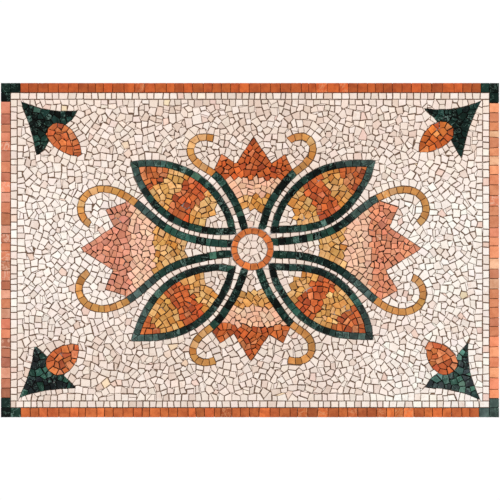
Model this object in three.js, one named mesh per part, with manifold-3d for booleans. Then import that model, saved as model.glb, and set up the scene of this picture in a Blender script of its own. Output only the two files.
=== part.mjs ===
// Stone mosaic panel for a wall: a foliate ornament of coloured stones set in a cream field,
// inside a one-stone border. Millimetres, +Z up, +X to the right seen from the front.
// The origin is the centre of the flat back face; the front looks along -Y.
// Every solid is one patch of stones of a colour, with the joints between its own stones filled.
import * as THREE from 'three';
import { mergeVertices } from 'three/addons/utils/BufferGeometryUtils.js';
import Module from 'manifold-3d';

const wasm = await Module();
wasm.setup();

// ---- driving dimensions -------------------------------------------------------------
const PANEL_W = 900;          // width of the panel
const PANEL_H = 604;          // height of the panel
const BED_T = 8;              // mortar bed behind the stones
const STONE_T = 10;           // depth of the stones
const LAY = 0.3;              // clearance between the bed and the stones laid on it
const JOINT = 1.5;            // joint between two patches of stones
const BORDER_W = 17.3;        // one stone of the border
const RING_AT = [4.4, 2.1];   // centre of the ornament, set out by hand a little off the middle
const RING_R = [27, 38.5];    // inner and outer radius of the centre ring
const BAND_W = 12;            // green bands beside the leaves
const CURL_W = 12.6;          // gold curls at the ends of the bands
const LEAF_W = 11.5;          // green outline of a leaf
const STEP = 12;              // length of one facet along a leaf or a band, about one stone
const CURL_STEP = 6.5;        // and along the tighter curls

// The border's corner blocks: [along the top or bottom edge, along the side edge]
const CORNER_BLOCKS = {
  top_left: [35.6, 33.8], top_right: [32.8, 35.6],
  bottom_left: [35.8, 35.2], bottom_right: [35.8, 34.4],
};

// Bands and curls are drawn in each quadrant from the ring outwards, in (outward, upward or
// downward) coordinates from the ring centre: start, heading in degrees, length, the bend at
// seven even stations in degrees per length, and the length at which the gold curl begins.
const SWEEPS = {
  top_left: {
    inner: { at: [14.4, 37.9], heading: 74.4, length: 232.3, bends: [-10, -89, -32, -200, 323, 690, 41], green: 114.1 },
    outer: { at: [37.7, 9.9], heading: -2.3, length: 354.0, bends: [98, 73, 157, -41, -215, -597, -661], green: 193.5 },
  },
  top_right: {
    inner: { at: [17.6, 38.8], heading: 71.0, length: 231.3, bends: [89, -136, -28, -126, 310, 701, 123], green: 117.5 },
    outer: { at: [38.1, 12.6], heading: 3.0, length: 350.3, bends: [34, 56, 171, -65, -154, -600, -622], green: 208.8 },
  },
  bottom_left: {
    inner: { at: [14.0, 37.9], heading: 71.7, length: 230.2, bends: [5, -77, -28, -142, 231, 729, 93], green: 120.4 },
    outer: { at: [38.7, 8.9], heading: 0.0, length: 357.4, bends: [147, 13, 183, -51, -232, -582, -635], green: 208.6 },
  },
  bottom_right: {
    inner: { at: [12.9, 37.9], heading: 73.5, length: 230.5, bends: [-35, -95, 16, -209, 367, 610, 129], green: 114.7 },
    outer: { at: [39.9, 10.0], heading: -0.2, length: 355.0, bends: [37, 103, 128, 19, -244, -660, -572], green: 207.1 },
  },
};

// Leaves: base at the ring, tip, and the stations of each side curve between them, same coordinates.
const LEAVES = {
  top_left: {
    base: [28.7, 27.1], tip: [220.2, 158.0],
    inner: [[36.6, 58.6], [51.4, 87.7], [71.3, 113.8], [96.3, 134.9], [125.2, 150.0], [156.3, 158.7], [188.3, 161.1]],
    outer: [[60.5, 25.2], [92.3, 29.1], [123.3, 37.7], [151.9, 52.4], [176.7, 73.0], [197.0, 98.1], [212.1, 126.7]],
  },
  top_right: {
    base: [31.8, 28.0], tip: [222.3, 159.8],
    inner: [[39.5, 58.8], [53.2, 88.1], [73.3, 113.5], [97.9, 134.5], [126.5, 149.8], [157.8, 158.3], [190.0, 160.8]],
    outer: [[63.6, 29.4], [95.3, 32.0], [126.4, 39.4], [154.8, 54.3], [178.7, 75.6], [198.0, 101.0], [213.6, 129.0]],
  },
  bottom_left: {
    base: [29.6, 31.6], tip: [219.2, 166.2],
    inner: [[38.2, 62.4], [52.2, 91.3], [71.3, 117.4], [95.8, 138.8], [124.5, 154.1], [155.5, 162.9], [187.4, 166.3]],
    outer: [[60.8, 27.4], [92.7, 30.8], [123.8, 40.5], [152.4, 56.8], [176.6, 79.1], [195.4, 106.0], [209.6, 135.3]],
  },
  bottom_right: {
    base: [28.2, 25.3], tip: [217.8, 164.3],
    inner: [[35.6, 57.1], [51.0, 85.9], [70.6, 112.1], [94.7, 134.1], [122.9, 150.4], [153.8, 159.9], [185.7, 163.3]],
    outer: [[61.1, 27.0], [93.7, 28.7], [125.8, 36.1], [155.0, 51.9], [179.5, 74.3], [199.2, 101.0], [213.3, 131.3]],
  },
};

// Tulips: half width at the root of the crown on each side, shoulders, valleys and point as
// (across, outward) from the ring centre, and the outward distances where the colour changes
// from orange to pink, pink to gold and gold to cream.
const TULIPS = {
  top: { out: [0, 1], crown: [[-69.4, 141.8], [-55.8, 171.6], [-29.6, 154.4], [2.0, 202.3], [34.5, 154.4], [58.9, 170.7], [72.4, 142.7]], cuts: [127, 97, 72] },
  bottom: { out: [0, -1], crown: [[-74.8, 146.3], [-57.6, 170.7], [-33.2, 152.6], [-2.5, 204.1], [30.0, 154.4], [56.2, 169.8], [67.0, 143.6]], cuts: [137, 105, 76] },
  left: { out: [-1, 0], crown: [[-86.7, 222.9], [-72.2, 266.2], [-37.9, 251.8], [0, 311.4], [40.6, 250], [70.4, 265.3], [85.8, 224.7]], cuts: [220, 176, 121] },
  right: { out: [1, 0], crown: [[-90.3, 232.2], [-75, 263], [-38.8, 241.3], [0.9, 306.3], [39.7, 247.6], [75.9, 263.9], [87.6, 228.6]], cuts: [214, 168, 119] },
};

// Corner calyxes and buds, measured in from the side edge and from the top or bottom edge:
// the calyx's three tips, how far its two outer sides bow in, its two inner horns, and the
// bud's back, point and half widths on the two sides.
const CORNERS = {
  top_left: { tips: [[34.7, 32.9], [137.6, 50.9], [64.5, 132.2]], bow: [6.5, 3.5], horns: [[128.4, 66.3], [77.6, 120.5]], back: [88, 79], point: [144.3, 131.8], fat: [29, 24, 31, 30] },
  top_right: { tips: [[32.7, 32.9], [134.7, 46.4], [67.0, 137.6]], bow: [7, 5], horns: [[120.3, 59.5], [77.4, 120.5]], back: [85, 78], point: [144.7, 124.1], fat: [27, 25, 32, 31] },
  bottom_left: { tips: [[32.0, 35.2], [135.8, 52.4], [60.9, 130.0]], bow: [5, 5], horns: [[126.1, 63.2], [76.4, 116.3]], back: [87, 84], point: [140.3, 130.0], fat: [30, 30, 31, 31] },
  bottom_right: { tips: [[33.6, 31.6], [133.8, 53.3], [55.3, 136.4]], bow: [6, 8], horns: [[123.7, 70], [68.4, 120.8]], back: [83, 83], point: [130.2, 135.5], fat: [32, 30, 31, 31] },
};

const SIGN = { top_left: [-1, 1], top_right: [1, 1], bottom_left: [-1, -1], bottom_right: [1, -1] };

// ---- finishes ------------------------------------------------------------------------
const finish = (color, roughness) => new THREE.MeshStandardMaterial({ color, roughness, metalness: 0 });
const STONE = {
  mortar: finish(0x8f7765, 0.95),
  cream: finish(0xeadfd4, 0.55),
  orange: finish(0xc4622c, 0.5),
  salmon: finish(0xd98a66, 0.5),
  pink: finish(0xefb997, 0.55),
  gold: finish(0xd69a52, 0.5),
  green: finish(0x1f3a35, 0.4),
};

// ---- outlines in the plane of the panel ----------------------------------------------
const fromRing = (q, [u, v]) => [RING_AT[0] + SIGN[q][0] * u, RING_AT[1] + SIGN[q][1] * v];
const fromCorner = (q, [a, b]) => [SIGN[q][0] * (PANEL_W / 2 - a), SIGN[q][1] * (PANEL_H / 2 - b)];

// a line whose bend changes evenly between its stations, walked in short steps
function sweep({ at, heading, length, bends }, from, to, step = STEP) {
  const fine = 400;
  const line = [];
  let [x, y] = at;
  let turn = THREE.MathUtils.degToRad(heading);
  const bend = (t) => {
    const f = t * (bends.length - 1);
    const i = Math.min(Math.floor(f), bends.length - 2);
    return THREE.MathUtils.degToRad(THREE.MathUtils.lerp(bends[i], bends[i + 1], f - i));
  };
  for (let i = 0; i <= fine; i++) {
    line.push([x, y, turn]);
    turn += bend((i + 0.5) / fine) / fine;
    x += (Math.cos(turn) * length) / fine;
    y += (Math.sin(turn) * length) / fine;
  }
  const facets = Math.max(2, Math.round((to - from) / step));
  const out = [];
  for (let k = 0; k <= facets; k++) {
    const s = THREE.MathUtils.lerp(from, to, k / facets);
    out.push(line[Math.min(fine, Math.max(0, Math.round((s / length) * fine)))]);
  }
  return out;
}

// distance from a point to a walked line
function away([px, py], line) {
  let best = Infinity;
  for (let i = 1; i < line.length; i++) {
    const [ax, ay] = line[i - 1], [bx, by] = line[i];
    const l2 = (bx - ax) ** 2 + (by - ay) ** 2;
    const t = THREE.MathUtils.clamp(((px - ax) * (bx - ax) + (py - ay) * (by - ay)) / l2, 0, 1);
    best = Math.min(best, Math.hypot(px - ax - t * (bx - ax), py - ay - t * (by - ay)));
  }
  return best;
}

// a ribbon of the given width along a walked line, its ends cut square and grown by `more`;
// where the line bends tighter than the ribbon is wide, its inside edge is cut short
function ribbon(line, width, more = 0) {
  const half = width / 2 + more;
  const last = line.length - 1;
  const ext = line.map(([x, y, a], i) => {
    const e = i === 0 ? -more : i === last ? more : 0;
    return [x + Math.cos(a) * e, y + Math.sin(a) * e, a];
  });
  const side = (s) => ext.map(([x, y, a]) => [x - Math.sin(a) * half * s, y + Math.cos(a) * half * s])
    .filter((p) => away(p, ext) > half * 0.985);
  return [...side(1), ...side(-1).reverse()];
}

function bezier(a, b, c, d) {
  const curve = new THREE.CubicBezierCurve(...[a, b, c, d].map(([x, y]) => new THREE.Vector2(x, y)));
  const facets = Math.max(4, Math.round(curve.getLength() / STEP));
  return Array.from({ length: facets + 1 }, (_, i) => {
    const p = curve.getPointAt(i / facets);
    const t = curve.getTangentAt(i / facets);
    return [p.x, p.y, Math.atan2(t.y, t.x)];
  });
}

// a smooth line through its stations, walked in steps of one stone
function spline(points) {
  const curve = new THREE.SplineCurve(points.map(([x, y]) => new THREE.Vector2(x, y)));
  const facets = Math.max(4, Math.round(curve.getLength() / STEP));
  return Array.from({ length: facets + 1 }, (_, i) => {
    const p = curve.getPointAt(i / facets);
    const t = curve.getTangentAt(i / facets);
    return [p.x, p.y, Math.atan2(t.y, t.x)];
  });
}

function bowed([ax, ay], [bx, by], bow) {
  const len = Math.hypot(bx - ax, by - ay);
  const c = [(ax + bx) / 2 - ((by - ay) / len) * 2 * bow, (ay + by) / 2 + ((bx - ax) / len) * 2 * bow];
  const curve = new THREE.QuadraticBezierCurve(new THREE.Vector2(ax, ay), new THREE.Vector2(...c), new THREE.Vector2(bx, by));
  const facets = Math.max(4, Math.round(len / STEP));
  return Array.from({ length: facets + 1 }, (_, i) => { const p = curve.getPoint(i / facets); return [p.x, p.y]; });
}

const area = (p) => p.reduce((s, [x, y], i) => { const [u, v] = p[(i + 1) % p.length]; return s + x * v - u * y; }, 0) / 2;

// a closed outline moved outwards by d, with its sharp corners held back
function grow(outline, d) {
  const p = area(outline) > 0 ? outline : [...outline].reverse();
  const n = p.length;
  return p.map((b, i) => {
    const a = p[(i + n - 1) % n];
    const c = p[(i + 1) % n];
    const u = new THREE.Vector2(b[1] - a[1], a[0] - b[0]).normalize();
    const w = new THREE.Vector2(c[1] - b[1], b[0] - c[0]).normalize();
    const k = Math.min(1 / Math.max(1 + u.dot(w), 0.25), 2.2);
    return [b[0] + (u.x + w.x) * d * k, b[1] + (u.y + w.y) * d * k];
  });
}

const circle = (r) => Array.from({ length: 32 }, (_, i) => {
  const t = (i / 32) * Math.PI * 2;
  return [RING_AT[0] + Math.cos(t) * r, RING_AT[1] + Math.sin(t) * r];
});
const rect = (x0, y0, x1, y1) => [[x0, y0], [x1, y0], [x1, y1], [x0, y1]];

// ---- solids --------------------------------------------------------------------------
// an outline becomes a plate lying in x, y and z from 0 to t
function plate(outline, t = STONE_T, z = 0) {
  const p = area(outline) > 0 ? outline : [...outline].reverse();
  const g = new THREE.ExtrudeGeometry(new THREE.Shape(p.map(([x, y]) => new THREE.Vector2(x, y))), { depth: t, bevelEnabled: false, steps: 1 });
  g.translate(0, 0, z);
  return g;
}
function toSolid(geometry) {
  const g = geometry.clone();
  g.deleteAttribute('normal');
  g.deleteAttribute('uv');
  const m = mergeVertices(g, 1e-4);
  return new wasm.Manifold(new wasm.Mesh({ numProp: 3, vertProperties: new Float32Array(m.attributes.position.array), triVerts: new Uint32Array(m.index.array) }));
}
const patch = (outline) => toSolid(plate(outline));
const cutter = (outline) => toSolid(plate(outline, STONE_T + 4, -2));
const joined = (list) => list.reduce((a, b) => a.add(b));

// the largest connected body of a solid, as a geometry
function toGeometry(solid) {
  const bodies = solid.decompose().sort((a, b) => b.volume() - a.volume());
  const m = bodies[0].getMesh();
  const pos = new Float32Array(m.numVert * 3);
  for (let i = 0; i < m.numVert; i++) for (let k = 0; k < 3; k++) pos[3 * i + k] = m.vertProperties[i * m.numProp + k];
  const g = new THREE.BufferGeometry();
  g.setAttribute('position', new THREE.BufferAttribute(pos, 3));
  g.setIndex([...m.triVerts]);
  const flat = g.toNonIndexed();
  flat.computeVertexNormals();
  return flat;
}

const group = new THREE.Group();
const stones = new THREE.Group();
stones.rotation.x = Math.PI / 2;            // the plates' x, y become the panel's x, z; depth runs to -Y
stones.position.y = -(BED_T + LAY);
group.add(stones);

function add(name, geometry, material, parent = stones) {
  const mesh = new THREE.Mesh(geometry, material);
  mesh.name = name;
  parent.add(mesh);
  return mesh;
}

// mortar bed
const bed = add('mortar_bed', new THREE.BoxGeometry(PANEL_W, BED_T, PANEL_H), STONE.mortar, group);
bed.position.y = -BED_T / 2;

// border: four runs of stones between four L-shaped corner blocks
const X = PANEL_W / 2, Y = PANEL_H / 2, B = BORDER_W, J = JOINT;
for (const [q, [along, down]] of Object.entries(CORNER_BLOCKS)) {
  const at = (a, b) => fromCorner(q, [a, b]);
  add(`corner_block_${q}`, plate([at(0, 0), at(along, 0), at(along, B), at(B, B), at(B, down), at(0, down)]), STONE.green);
}
const cb = CORNER_BLOCKS;
add('border_top', plate(rect(-X + cb.top_left[0] + J, Y - B, X - cb.top_right[0] - J, Y)), STONE.orange);
add('border_bottom', plate(rect(-X + cb.bottom_left[0] + J, -Y, X - cb.bottom_right[0] - J, -Y + B)), STONE.orange);
add('border_left', plate(rect(-X, -Y + cb.bottom_left[1] + J, -X + B, Y - cb.top_left[1] - J)), STONE.salmon);
add('border_right', plate(rect(X - B, -Y + cb.bottom_right[1] + J, X, Y - cb.top_right[1] - J)), STONE.salmon);

// everything that the cream field goes round, grown by one joint
const holes = [cutter(circle(RING_R[1] + J))];

// centre ring and disc
add('centre_ring', toGeometry(patch(circle(RING_R[1])).subtract(cutter(circle(RING_R[0])))), STONE.orange);
add('centre_disc', plate(circle(RING_R[0] - J)), STONE.cream);
const ringCut = cutter(circle(RING_R[1] + J));

// bands, curls and leaves
const bandCuts = {};
for (const q of Object.keys(SWEEPS)) {
  bandCuts[q] = {};
  for (const which of ['inner', 'outer']) {
    const row = SWEEPS[q][which];
    const put = (line) => line.map(([x, y, a]) => [...fromRing(q, [x, y]), Math.atan2(SIGN[q][1] * Math.sin(a), SIGN[q][0] * Math.cos(a))]);
    const green = put(sweep(row, 0, row.green - J / 2));
    const gold = put(sweep(row, row.green + J / 2, row.length, CURL_STEP));
    add(`band_${q}_${which}`, toGeometry(patch(ribbon(green, BAND_W)).subtract(ringCut)), STONE.green);
    add(`curl_${q}_${which}`, toGeometry(patch(ribbon(gold, CURL_W))), STONE.gold);
    const cut = cutter(ribbon(green, BAND_W, J)).add(cutter(ribbon(gold, CURL_W, J)));
    bandCuts[q][which] = cut;
    holes.push(cut);
  }
}
for (const q of Object.keys(LEAVES)) {
  const { base, tip, inner, outer } = LEAVES[q];
  const sideA = spline([base, ...inner, tip]);
  const sideB = spline([base, ...outer, tip]);
  const put = (line) => line.map(([x, y]) => fromRing(q, [x, y]));
  const whole = put([...sideA, ...[...sideB].reverse().slice(1, -1)]);
  const strokes = (w) => joined([sideA, sideB].map((line) => cutter(put(ribbon(line, 2 * w)))));
  const clear = joined([ringCut, bandCuts[q].inner, bandCuts[q].outer]);
  const leaf = patch(whole).subtract(clear);
  // the green outline is what lies within LEAF_W of either side; the fill is the rest
  add(`leaf_outline_${q}`, toGeometry(leaf.intersect(strokes(LEAF_W))), STONE.green);
  add(`leaf_fill_${q}`, toGeometry(leaf.subtract(strokes(LEAF_W + J))), STONE.orange);
  holes.push(cutter(grow(whole, J)));
}

// tulips: the space between two bands, closed by the crown, cut across where the colour changes
const BANDS_OF = {
  top: [['top_left', 'inner'], ['top_right', 'inner']],
  bottom: [['bottom_left', 'inner'], ['bottom_right', 'inner']],
  left: [['bottom_left', 'outer'], ['top_left', 'outer']],
  right: [['bottom_right', 'outer'], ['top_right', 'outer']],
};
for (const [name, { out, crown, cuts }] of Object.entries(TULIPS)) {
  const across = out[0] === 0 ? [1, 0] : [0, 1];
  const at = ([a, r]) => [RING_AT[0] + across[0] * a + out[0] * r, RING_AT[1] + across[1] * a + out[1] * r];
  // centre line of the band on each side, from the ring to where its curl begins
  const edges = BANDS_OF[name].map(([q, which]) => sweep(SWEEPS[q][which], 0, SWEEPS[q][which].green).map(([x, y]) => fromRing(q, [x, y])));
  const outline = [at([0, 20]), ...edges[0], ...crown.map(at), ...edges[1].reverse()];
  const clear = joined([ringCut, ...BANDS_OF[name].map(([q, which]) => bandCuts[q][which])]);
  const whole = patch(outline).subtract(clear);
  holes.push(cutter(grow(outline, J)));
  const levels = [400, ...cuts, 0];
  const parts = [['crown', STONE.orange], ['pink', STONE.pink], ['gold', STONE.gold], ['cream', STONE.cream]];
  parts.forEach(([part, material], i) => {
    const hi = levels[i] - (i ? J / 2 : 0), lo = levels[i + 1] + (i < 3 ? J / 2 : 0);
    const slice = cutter([at([-200, lo]), at([200, lo]), at([200, hi]), at([-200, hi])]);
    const side = name === 'left' || name === 'right';
    add(`tulip_${part}_${name}`, toGeometry(whole.intersect(slice)), part === 'crown' && side ? STONE.salmon : material);
  });
}

// corner calyxes and buds
for (const [q, c] of Object.entries(CORNERS)) {
  const axis = new THREE.Vector2(c.point[0] - c.back[0], c.point[1] - c.back[1]);
  const len = axis.length();
  axis.normalize();
  const at = (along, side) => [c.back[0] + axis.x * along - axis.y * side, c.back[1] + axis.y * along + axis.x * side];
  const sideOf = (s, near, far) => bezier(c.back, at(-2, s * near), at(0.72 * len, s * far), c.point).map(([x, y]) => [x, y]);
  const bud = [...sideOf(1, c.fat[0], c.fat[1]), ...sideOf(-1, c.fat[2], c.fat[3]).reverse().slice(1, -1)].map((p) => fromCorner(q, p));
  const [tipC, tipH, tipV] = c.tips;
  const mid = (s) => at(0.2 * len, s * 10);
  const calyx = [...bowed(tipC, tipH, c.bow[0]), c.horns[0], mid(-1), mid(1), c.horns[1], ...bowed(tipV, tipC, c.bow[1]).slice(0, -1)].map((p) => fromCorner(q, p));
  add(`calyx_${q}`, toGeometry(patch(calyx).subtract(cutter(grow(bud, J)))), STONE.green);
  add(`bud_${q}`, plate(bud), STONE.orange);
  holes.push(cutter(grow(calyx, J)), cutter(grow(bud, J)));
}

// cream field: the whole inside of the border less everything set into it
const inset = B + J;
let field = patch(rect(-X + inset, -Y + inset, X - inset, Y - inset));
for (const [q, [along, down]] of Object.entries(CORNER_BLOCKS)) {
  const p = fromCorner(q, [0, 0]), r = fromCorner(q, [inset, inset]);
  field = field.subtract(cutter(rect(Math.min(p[0], r[0]), Math.min(p[1], r[1]), Math.max(p[0], r[0]), Math.max(p[1], r[1]))));
}
for (const hole of holes) field = field.subtract(hole);
add('cream_field', toGeometry(field), STONE.cream);

export default group;
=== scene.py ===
import math

import bpy
import numpy as np
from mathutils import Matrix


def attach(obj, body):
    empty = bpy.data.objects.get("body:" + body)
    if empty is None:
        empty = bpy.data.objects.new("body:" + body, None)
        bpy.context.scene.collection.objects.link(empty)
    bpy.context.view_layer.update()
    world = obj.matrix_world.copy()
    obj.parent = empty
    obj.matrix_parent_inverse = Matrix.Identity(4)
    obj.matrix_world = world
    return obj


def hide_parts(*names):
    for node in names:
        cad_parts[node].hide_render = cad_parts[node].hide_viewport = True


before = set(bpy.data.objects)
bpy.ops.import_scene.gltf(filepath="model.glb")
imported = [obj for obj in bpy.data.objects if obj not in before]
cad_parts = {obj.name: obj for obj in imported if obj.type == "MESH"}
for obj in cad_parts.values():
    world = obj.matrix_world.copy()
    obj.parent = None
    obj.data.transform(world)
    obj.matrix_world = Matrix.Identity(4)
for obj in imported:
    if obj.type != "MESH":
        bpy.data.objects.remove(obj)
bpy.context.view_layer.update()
rng = np.random.default_rng(20)

# ---- sizes -------------------------------------------------------------------------------
PANEL_W, PANEL_H = 900.0, 604.0
FRONT = -18.3            # the CAD's front plane, along Y
STONE_BACK = -8.3        # where the stones end in the bed
GROUT = -15.7            # mean level of the mortar in the joints
BORDER_W = 17.3
EDGE_ROW = 12.6          # first row of field stones along the border
RING_AT = (4.4, 2.1)
RING_R = (27.0, 38.5)
BAND_W, CURL_W, LEAF_W = 13.0, 12.6, 12.0
G = 0.8                  # pitch of the setting-out grid
PITCH = {"field": 12.0, "fill": 10.6, "calyx": 11.2, "bud": 11.6, "disc": 11.4}

CORNER_BLOCKS = {
    "top_left": (35.6, 33.8), "top_right": (32.8, 35.6),
    "bottom_left": (35.8, 35.2), "bottom_right": (35.8, 34.4),
}
# start, heading, length, bend at seven stations, length at which the curl begins
SWEEPS = {
    "top_left": {"inner": ((14.4, 37.9), 74.4, 232.3, (-10, -89, -32, -200, 323, 690, 41), 114.1),
                 "outer": ((37.7, 9.9), -2.3, 354.0, (98, 73, 157, -41, -215, -597, -661), 193.5)},
    "top_right": {"inner": ((17.6, 38.8), 71.0, 231.3, (89, -136, -28, -126, 310, 701, 123), 117.5),
                  "outer": ((38.1, 12.6), 3.0, 350.3, (34, 56, 171, -65, -154, -600, -622), 208.8)},
    "bottom_left": {"inner": ((14.0, 37.9), 71.7, 230.2, (5, -77, -28, -142, 231, 729, 93), 120.4),
                    "outer": ((38.7, 8.9), 0.0, 357.4, (147, 13, 183, -51, -232, -582, -635), 208.6)},
    "bottom_right": {"inner": ((12.9, 37.9), 73.5, 230.5, (-35, -95, 16, -209, 367, 610, 129), 114.7),
                     "outer": ((39.9, 10.0), -0.2, 355.0, (37, 103, 128, 19, -244, -660, -572), 207.1)},
}
# base, tip, stations of the inner and of the outer side, shares of the axis where the colour changes
LEAVES = {
    "top_left": ((28.7, 27.1), (220.2, 158.0),
        ((36.6, 58.6), (51.4, 87.7), (71.3, 113.8), (96.3, 134.9), (125.2, 150.0), (156.3, 158.7), (188.3, 161.1)),
        ((60.5, 25.2), (92.3, 29.1), (123.3, 37.7), (151.9, 52.4), (176.7, 73.0), (197.0, 98.1), (212.1, 126.7)), (0.237, 0.378, 0.556, 0.725)),
    "top_right": ((31.8, 28.0), (222.3, 159.8),
        ((39.5, 58.8), (53.2, 88.1), (73.3, 113.5), (97.9, 134.5), (126.5, 149.8), (157.8, 158.3), (190.0, 160.8)),
        ((63.6, 29.4), (95.3, 32.0), (126.4, 39.4), (154.8, 54.3), (178.7, 75.6), (198.0, 101.0), (213.6, 129.0)), (0.23, 0.405, 0.575, 0.705)),
    "bottom_left": ((29.6, 31.6), (219.2, 166.2),
        ((38.2, 62.4), (52.2, 91.3), (71.3, 117.4), (95.8, 138.8), (124.5, 154.1), (155.5, 162.9), (187.4, 166.3)),
        ((60.8, 27.4), (92.7, 30.8), (123.8, 40.5), (152.4, 56.8), (176.6, 79.1), (195.4, 106.0), (209.6, 135.3)), (0.253, 0.4, 0.57, 0.77)),
    "bottom_right": ((28.2, 25.3), (217.8, 164.3),
        ((35.6, 57.1), (51.0, 85.9), (70.6, 112.1), (94.7, 134.1), (122.9, 150.4), (153.8, 159.9), (185.7, 163.3)),
        ((61.1, 27.0), (93.7, 28.7), (125.8, 36.1), (155.0, 51.9), (179.5, 74.3), (199.2, 101.0), (213.3, 131.3)), (0.243, 0.36, 0.52, 0.7)),
}
TULIPS = {
    "top": ((0, 1), ((-69.4, 141.8), (-55.8, 171.6), (-29.6, 154.4), (2.0, 202.3), (34.5, 154.4), (58.9, 170.7), (72.4, 142.7)), (127, 97, 72), (("top_left", "inner"), ("top_right", "inner"))),
    "bottom": ((0, -1), ((-74.8, 146.3), (-57.6, 170.7), (-33.2, 152.6), (-2.5, 204.1), (30.0, 154.4), (56.2, 169.8), (67.0, 143.6)), (137, 105, 76), (("bottom_left", "inner"), ("bottom_right", "inner"))),
    "left": ((-1, 0), ((-86.7, 222.9), (-72.2, 266.2), (-37.9, 251.8), (0, 311.4), (40.6, 250), (70.4, 265.3), (85.8, 224.7)), (220, 176, 121), (("bottom_left", "outer"), ("top_left", "outer"))),
    "right": ((1, 0), ((-90.3, 232.2), (-75, 263), (-38.8, 241.3), (0.9, 306.3), (39.7, 247.6), (75.9, 263.9), (87.6, 228.6)), (214, 168, 119), (("bottom_right", "outer"), ("top_right", "outer"))),
}
# calyx tips, bow of its outer sides, inner horns, bud's back and point, half widths
CORNERS = {
    "top_left": (((34.7, 32.9), (137.6, 50.9), (64.5, 132.2)), (6.5, 3.5), ((128.4, 66.3), (77.6, 120.5)), (88, 79), (144.3, 131.8), (29, 24, 31, 30)),
    "top_right": (((32.7, 32.9), (134.7, 46.4), (67.0, 137.6)), (7, 5), ((120.3, 59.5), (77.4, 120.5)), (85, 78), (144.7, 124.1), (27, 25, 32, 31)),
    "bottom_left": (((32.0, 35.2), (135.8, 52.4), (60.9, 130.0)), (5, 5), ((126.1, 63.2), (76.4, 116.3)), (87, 84), (140.3, 130.0), (30, 30, 31, 31)),
    "bottom_right": (((33.6, 31.6), (133.8, 53.3), (55.3, 136.4)), (6, 8), ((123.7, 70), (68.4, 120.8)), (83, 83), (130.2, 135.5), (32, 30, 31, 31)),
}
SIGN = {"top_left": (-1, 1), "top_right": (1, 1), "bottom_left": (-1, -1), "bottom_right": (1, -1)}

# ---- outlines ----------------------------------------------------------------------------
def from_ring(q, p):
    return np.atleast_2d(p).astype(float) * SIGN[q] + RING_AT


def from_corner(q, p):
    return (np.array([PANEL_W / 2, PANEL_H / 2]) - np.atleast_2d(p)) * SIGN[q]


def sweep(row, n=180):
    (u, w), heading, length, bends, _ = row
    t = np.linspace(0, 1, n)
    k = np.interp(t, np.linspace(0, 1, len(bends)), bends)
    turn = np.radians(heading + np.concatenate([[0], np.cumsum((k[1:] + k[:-1]) / 2) / (n - 1)]))
    step = length / (n - 1)
    x = u + step * np.concatenate([[0], np.cumsum((np.cos(turn)[1:] + np.cos(turn)[:-1]) / 2)])
    y = w + step * np.concatenate([[0], np.cumsum((np.sin(turn)[1:] + np.sin(turn)[:-1]) / 2)])
    return np.column_stack([x, y]), t * length


def bezier(a, b, c, d, n=70):
    t = np.linspace(0, 1, n)[:, None]
    a, b, c, d = (np.array(p, float) for p in (a, b, c, d))
    return (1 - t) ** 3 * a + 3 * (1 - t) ** 2 * t * b + 3 * (1 - t) * t * t * c + t ** 3 * d


def spline(points, n=14):
    p = np.array(points, float)
    e = np.vstack([p[:1], p, p[-1:]])
    t = np.linspace(0, 1, n, endpoint=False)[:, None]
    out = []
    for i in range(len(p) - 1):
        a, b, c, d = e[i:i + 4]
        out.append(0.5 * (2 * b + (c - a) * t + (2 * a - 5 * b + 4 * c - d) * t ** 2 + (3 * b - 3 * c + d - a) * t ** 3))
    return np.vstack(out + [p[-1:]])


def bowed(a, b, bow, n=14):
    a, b = np.array(a, float), np.array(b, float)
    d = b - a
    c = (a + b) / 2 + np.array([-d[1], d[0]]) / np.hypot(*d) * 2 * bow
    t = np.linspace(0, 1, n)[:, None]
    return (1 - t) ** 2 * a + 2 * t * (1 - t) * c + t * t * b


def bud_outline(q):
    _, _, _, back, point, fat = CORNERS[q]
    back, point = np.array(back, float), np.array(point, float)
    axis = point - back
    length = np.hypot(*axis)
    axis /= length
    side = np.array([-axis[1], axis[0]])
    def run(s, near, far):
        return bezier(back, back - 2 * axis + side * s * near, back + axis * 0.72 * length + side * s * far, point, 24)
    mid = [back + axis * 0.2 * length + side * s * 10 for s in (-1, 1)]
    return np.vstack([run(1, fat[0], fat[1]), run(-1, fat[2], fat[3])[::-1][1:-1]]), mid


def calyx_outline(q):
    tips, bow, horns, _, _, _ = CORNERS[q]
    mid = bud_outline(q)[1]
    return np.vstack([bowed(tips[0], tips[1], bow[0]), [horns[0]], [mid[0]], [mid[1]], [horns[1]], bowed(tips[2], tips[0], bow[1])[:-1]])


# ---- setting-out grid --------------------------------------------------------------------
NX, NZ = int(round(PANEL_W / G)), int(round(PANEL_H / G))
GU = (np.arange(NX) + 0.5) * G - PANEL_W / 2
GW = (np.arange(NZ) + 0.5) * G - PANEL_H / 2


def window(points, more=0.0):
    lo, hi = points.min(0) - more, points.max(0) + more
    x0, x1 = np.searchsorted(GU, lo[0]), np.searchsorted(GU, hi[0])
    z0, z1 = np.searchsorted(GW, lo[1]), np.searchsorted(GW, hi[1])
    return slice(z0, z1), slice(x0, x1)


def inside(outline, win):
    x, z = np.meshgrid(GU[win[1]], GW[win[0]])
    hit = np.zeros(x.shape, bool)
    a = outline
    b = np.roll(outline, -1, 0)
    for (x0, z0), (x1, z1) in zip(a, b):
        if z0 == z1:
            continue
        cross = ((z0 > z) != (z1 > z)) & (x < (x1 - x0) * (z - z0) / (z1 - z0) + x0)
        hit ^= cross
    return hit


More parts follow.
